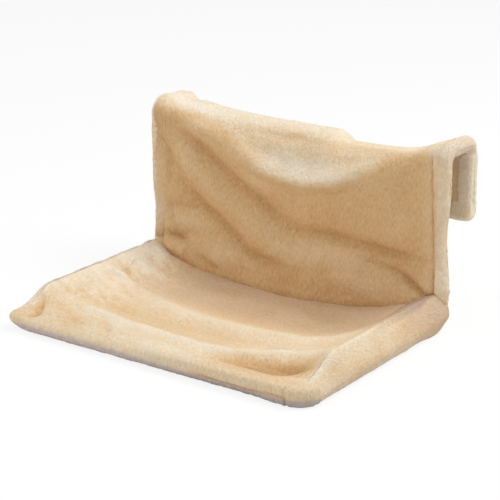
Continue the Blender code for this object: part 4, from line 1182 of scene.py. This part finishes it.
def make_sleeve(side, word):
    """Sleeve up the back tube, over the arm and down to the rear hem."""
    x = side * TUBE_X
    corners = [(x, BED_DEPTH, SLEEVE_FOOT_Z), (x, BED_DEPTH, ARM_Z),
               (x, HOOK_Y, ARM_Z), (x, HOOK_Y, REAR_HEM_TOP_Z - 0.002)]
    path = bent_path(corners, [ARM_BEND_RADIUS] * 2, FINE_STEP)
    tangent = np.gradient(path, axis=0)
    tangent /= np.linalg.norm(tangent, axis=1, keepdims=True)
    across = np.array([1.0, 0.0, 0.0])
    out = np.cross(across, tangent)
    turns = np.linspace(0, 2 * math.pi, 72, endpoint=False)
    length = np.linspace(0, (len(path) - 1) * FINE_STEP, len(path))
    nap = nap_of(np.repeat(turns[:, None] * SLEEVE_RADIUS, len(path), axis=1) + 1.0 * side,
                 np.repeat(length[None], len(turns), axis=0), 0.0)
    hook_part = ramp_up(path[:, 1] - HOOK_Y, -0.004, 0.004) * ramp_down(path[:, 2], ARM_Z - 0.012, 0.010)
    round_power = 2 / mix(2.0, HOOK_POWER, hook_part)
    across_part = SLEEVE_RADIUS * squarer(np.cos(turns)[:, None], round_power)
    out_part = SLEEVE_RADIUS * squarer(np.sin(turns)[:, None], round_power)
    share = np.clip(-side * across_part / SLEEVE_RADIUS, 0, 1)
    inner = (side * across_part < 0) & (out_part > 0) & (side > 0)
    wander = 0.0014 * noise(nap, (1.0, 0.017, 1.0), 41) + 0.0006 * noise(nap, (1.0, 0.006, 1.0), 42)
    filled = mix(SLEEVE_RADIUS, PANEL_PROUD + 0.0003, smooth(share))
    out_part = np.where(inner & (share < 0.995), filled, np.broadcast_to(out_part, wander.shape))
    if side < 0:
        over_arm = ramp_up(path[:, 1] - BED_DEPTH, 0.008, 0.030)
        out_part = out_part * np.where(out_part > 0, mix(1.0, LEFT_ARM_FLAT, over_arm), 1.0)
    front = path[:, 1] < BED_DEPTH + 0.002
    fill = SLEEVE_FILL - np.interp(path[:, 2], *SEAM_DRIFT) * front
    across_part = np.where(inner, -side * share * (fill + wander), across_part)
    if side > 0:
        swell = np.interp(path[:, 2], *OUTLINE_DRIFT) * front
        across_part = across_part + np.clip(across_part / SLEEVE_RADIUS, 0, 1) * swell
    else:
        across_part = across_part + left_lean(path[:, 2]) * front
    rings = path[None] + across_part[..., None] * across + out_part[..., None] * out[None]
    normals = (rings - path[None]) / SLEEVE_RADIUS
    flat_z = ARM_Z - ARM_FLAT_DROP
    flat = (rings[..., 2] < flat_z) & (rings[..., 1] > BED_DEPTH + ARM_BEND_RADIUS)
    flat &= rings[..., 1] < HOOK_Y - ARM_BEND_RADIUS
    rings[..., 2] = np.where(flat, flat_z, rings[..., 2])
    arm = ramp_up(path[:, 2] - ARM_Z, -0.016, 0.012)
    hook = ramp_up(path[:, 1] - HOOK_Y, -0.012, 0.010) * (1 - arm)
    ragged = noise(nap, (0.0040, 0.0055, 0.0040), 43)
    tuft = inner * np.exp(-(((share - 0.85) / 0.22) ** 2) - ((path[:, 2] - 0.220) / 0.009) ** 2)
    tuft = tuft * (path[:, 1] < BED_DEPTH + 0.02) * (0.6 + 0.8 * ragged)
    # A crease where the sleeve crosses the side: a small dent with painted shade along it.
    foot_line = np.interp(rings[..., 0], (0.215, 0.221, 0.229, 0.236), (0.055, 0.048, 0.041, 0.034))
    crossing = bell(rings[..., 2] - foot_line, 0.0024) * front * (side > 0)
    crossing = crossing * ramp_up(rings[..., 0], 0.214, 0.003)
    raised = 0.0005 * ragged + 0.0022 * np.maximum(tuft, 0) - 0.0010 * crossing
    rings = rings + normals * raised[..., None]
    # Pale standing pile and painted highlight on the arm, less on the hook.
    frost = np.repeat((mix(0.40, 1.0, arm) - 0.4 * hook)[None], len(turns), axis=0)
    points, tufts = pile(rings, normals, nap, frost, 7)
    seam = inner * bell(1 - share, 0.16)
    seam = seam * (0.75 + 0.45 * noise(nap, (1.0, 0.011, 1.0), 44))
    # Painted light on the left arm and a little painted shade on the right arm; painted light on the
    # hook in its gap; a darker seam, a pale tuft and painted shade in the crossing crease.
    shade = shade_of(np.zeros(tufts.shape), tufts) + 0.30 + mix(1.2, -0.15, side > 0) * arm
    shade = shade + 1.1 * hook - 1.0 * seam + 1.2 * tuft - 1.3 * crossing
    # On the right sleeve's front: painted shade high on its inner part and at its foot, painted light
    # lower down.
    shade = shade - 0.45 * inner * front * ramp_up(path[:, 2], 0.090, 0.040)
    shade = shade - 0.60 * (side > 0) * front * ramp_down(path[:, 2], 0.062, 0.014)
    shade = shade + 0.45 * (side > 0) * front * ramp_down(path[:, 2], 0.110, 0.050)
    # A greyer painted tone on the right arm.
    under = np.repeat((0.22 * arm * (side > 0))[None], len(turns), axis=0)
    if not (np.cross(points[1, 0] - points[0, 0], points[0, 1] - points[0, 0])
            @ normals[0, 0]) > 0:
        points, nap, shade = points[::-1], nap[::-1], shade[::-1]
    looks = looks_of(nap, shade, frost, under)
    return tube("sleeve_cover_" + word, points, looks, ["back_sleeve_" + word])


def make_rear_hem():
    """Flat tunnel along the foot of the hanging panel, with rounded corners."""
    half = COVER_WIDTH / 2
    rings = []
    ends = [half - short for short in REAR_HEM_CORNER * (1 - np.sin(np.linspace(0, 1.5, 9)))]
    xs = [*(-x for x in reversed(ends)), *spaced(-ends[0] + STEP, ends[0] - STEP), *ends]
    for x in xs:
        inset = max(abs(x) - (half - REAR_HEM_CORNER), 0) / REAR_HEM_CORNER
        drop = 1 - (1 - math.sqrt(max(1 - inset ** 2, 0))) * REAR_HEM_CORNER / REAR_HEM_HEIGHT
        grown = float(ramp_up(abs(x) - PANEL_HALF, -0.020, 0.020))
        top_half = mix(REAR_HEM_TOP_THICKNESS / 2, SLEEVE_RADIUS, grown)
        outline = [(top_half, REAR_HEM_TOP_Z),
                   (mix(SLEEVE_RADIUS, top_half, 0.5), mix(REAR_BAR_Z, REAR_HEM_TOP_Z, 0.5))]
        for angle in np.linspace(0, math.pi, 9):
            outline.append((SLEEVE_RADIUS * math.cos(angle),
                            REAR_BAR_Z - HEM_DROP * math.sin(angle)))
        outline += [(-outline[1][0], outline[1][1]), (-top_half, REAR_HEM_TOP_Z)]
        ring = through(outline, 44)
        rear = np.linspace(-top_half, top_half, 8)[1:-1]
        ring = np.concatenate([ring, np.stack([rear, np.full(6, REAR_HEM_TOP_Z)], axis=1)])
        z = REAR_HEM_TOP_Z - (REAR_HEM_TOP_Z - ring[:, 1]) * drop
        rings.append(np.stack([np.full(len(ring), x), HOOK_Y + ring[:, 0] * drop, z], axis=1))
    points = np.stack(rings, axis=1)
    normals = grid_normals(points, ring=True)
    outward = (normals[..., 1] * (points[..., 1] - HOOK_Y)).mean() > 0
    if not outward:
        points, normals = points[::-1], -normals[::-1]
    x = points[..., 0]
    nap = nap_of(x, round_runs(points).cumsum(axis=0) + 2.0, 0.0)
    frost = np.full(x.shape, 0.10)
    points, tufts = pile(points, normals, nap, frost, 11)
    # Painted light over the whole rear hem, as on the hanging panel.
    shade = shade_of(np.zeros(tufts.shape), tufts) + 1.1
    return tube("rear_hem_cover", points, looks_of(nap, shade, frost), ["rear_hem"])


def dress_frame():
    """Materials for the tubes, buttons and springs of the CAD model."""
    paint = make_paint()
    finishes = {
        "side_tube": paint,
        "front_bar": paint,
        "rear_bar": paint,
        "snap_button": make_steel("button_plating", (0.55, 0.55, 0.54), (0.78, 0.78, 0.76),
                                  (0.0004, 0.0004, 0.0030)),
        "snap_spring": make_steel("spring_strip", (0.42, 0.42, 0.42), (0.64, 0.64, 0.62),
                                  (0.0040, 0.0003, 0.0040)),
    }
    for obj in bpy.data.objects:
        for start, material in finishes.items():
            if obj.type == "MESH" and obj.name.startswith(start):
                for slot in obj.material_slots:
                    slot.material = material


def make_springs():
    """Leaf springs copied from the CAD springs to stand in their place, each with a mesh of its own."""
    for word in ("front_left", "front_right", "rear_left", "rear_right"):
        solid = bpy.data.objects["snap_spring_" + word]
        spring = bpy.data.objects.new("leaf_spring_" + word, solid.data.copy())
        bpy.context.scene.collection.objects.link(spring)
        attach(spring, "bed")
        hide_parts(solid.name)
        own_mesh(spring)


def make_camera():
    camera = bpy.data.cameras.new("camera")
    camera.lens = LENS
    camera.sensor_width = 36
    camera.shift_x, camera.shift_y = SHIFT
    camera.clip_end = 50
    holder = bpy.data.objects.new("camera", camera)
    back = Vector((math.sin(AZIMUTH) * math.cos(ELEVATION),
                   -math.cos(AZIMUTH) * math.cos(ELEVATION), math.sin(ELEVATION)))
    holder.location = TARGET + back * DISTANCE
    holder.rotation_euler = (-back).to_track_quat("-Z", "Y").to_euler()
    bpy.context.scene.collection.objects.link(holder)
    bpy.context.scene.camera = holder


def seen_rays(tree):
    """1 for rays from the camera and for mirrored or clear rays, else 0."""
    path = tree.nodes.new("ShaderNodeLightPath")
    rays = math_node(tree, "MAXIMUM", path.outputs["Is Camera Ray"], path.outputs["Is Glossy Ray"])
    return math_node(tree, "MAXIMUM", rays, path.outputs["Is Transmission Ray"])


def make_studio():
    """White ground that keeps a faint shadow, a white world and soft lamps."""
    scene = bpy.context.scene
    scene.view_settings.view_transform = "Standard"
    world = bpy.data.worlds.new("studio")
    scene.world = world
    world.use_nodes = True
    tree = world.node_tree
    sky = tree.nodes["Background"]
    sky.inputs["Color"].default_value = (1.0, 1.0, 1.0, 1.0)
    strength = math_node(tree, "MULTIPLY", seen_rays(tree), 1.0 - AMBIENT)
    tree.links.new(math_node(tree, "ADD", strength, AMBIENT), sky.inputs["Strength"])

    mesh = bpy.data.meshes.new("floor")
    reach = 12.0
    mesh.from_pydata([(-reach, -reach, 0), (reach, -reach, 0), (reach, reach, 0),
                      (-reach, reach, 0)], [], [(0, 1, 2, 3)])
    floor = bpy.data.objects.new("floor", mesh)
    floor.location.z = -0.0003
    scene.collection.objects.link(floor)
    material, tree, shader = new_material("floor")
    shader.inputs["Base Color"].default_value = (0.82, 0.82, 0.82, 1.0)
    shader.inputs["Roughness"].default_value = 0.9
    glow = node(tree, "ShaderNodeEmission", Strength=1.05)
    blend = tree.nodes.new("ShaderNodeMixShader")
    tree.links.new(math_node(tree, "MULTIPLY", seen_rays(tree), 0.80), blend.inputs["Fac"])
    tree.links.new(shader.outputs["BSDF"], blend.inputs[1])
    tree.links.new(glow.outputs["Emission"], blend.inputs[2])
    tree.links.new(blend.outputs["Shader"], tree.nodes["Material Output"].inputs["Surface"])
    mesh.materials.append(material)

    for name, place, size, power in LAMPS:
        light = bpy.data.lights.new(name, "AREA")
        light.shape = "SQUARE"
        light.size = size
        light.energy = power
        lamp = bpy.data.objects.new(name, light)
        lamp.location = place
        direction = Vector((0, 0, 0.08)) - lamp.location
        lamp.rotation_euler = direction.to_track_quat("-Z", "Y").to_euler()
        scene.collection.objects.link(lamp)


materials["plush"] = make_plush()
materials["lining"] = make_lining()
make_camera()
make_studio()
make_seat()
make_sling()
for side, word in ((-1, "left"), (1, "right")):
    make_side(side, word)
    make_sleeve(side, word)
make_front_roll()
make_rear_hem()
dress_frame()
make_springs()

for name, obj in pieces.items():
    if name in ("seat_cover", "back_cover", "top_cover", "hook_cover"):
        continue
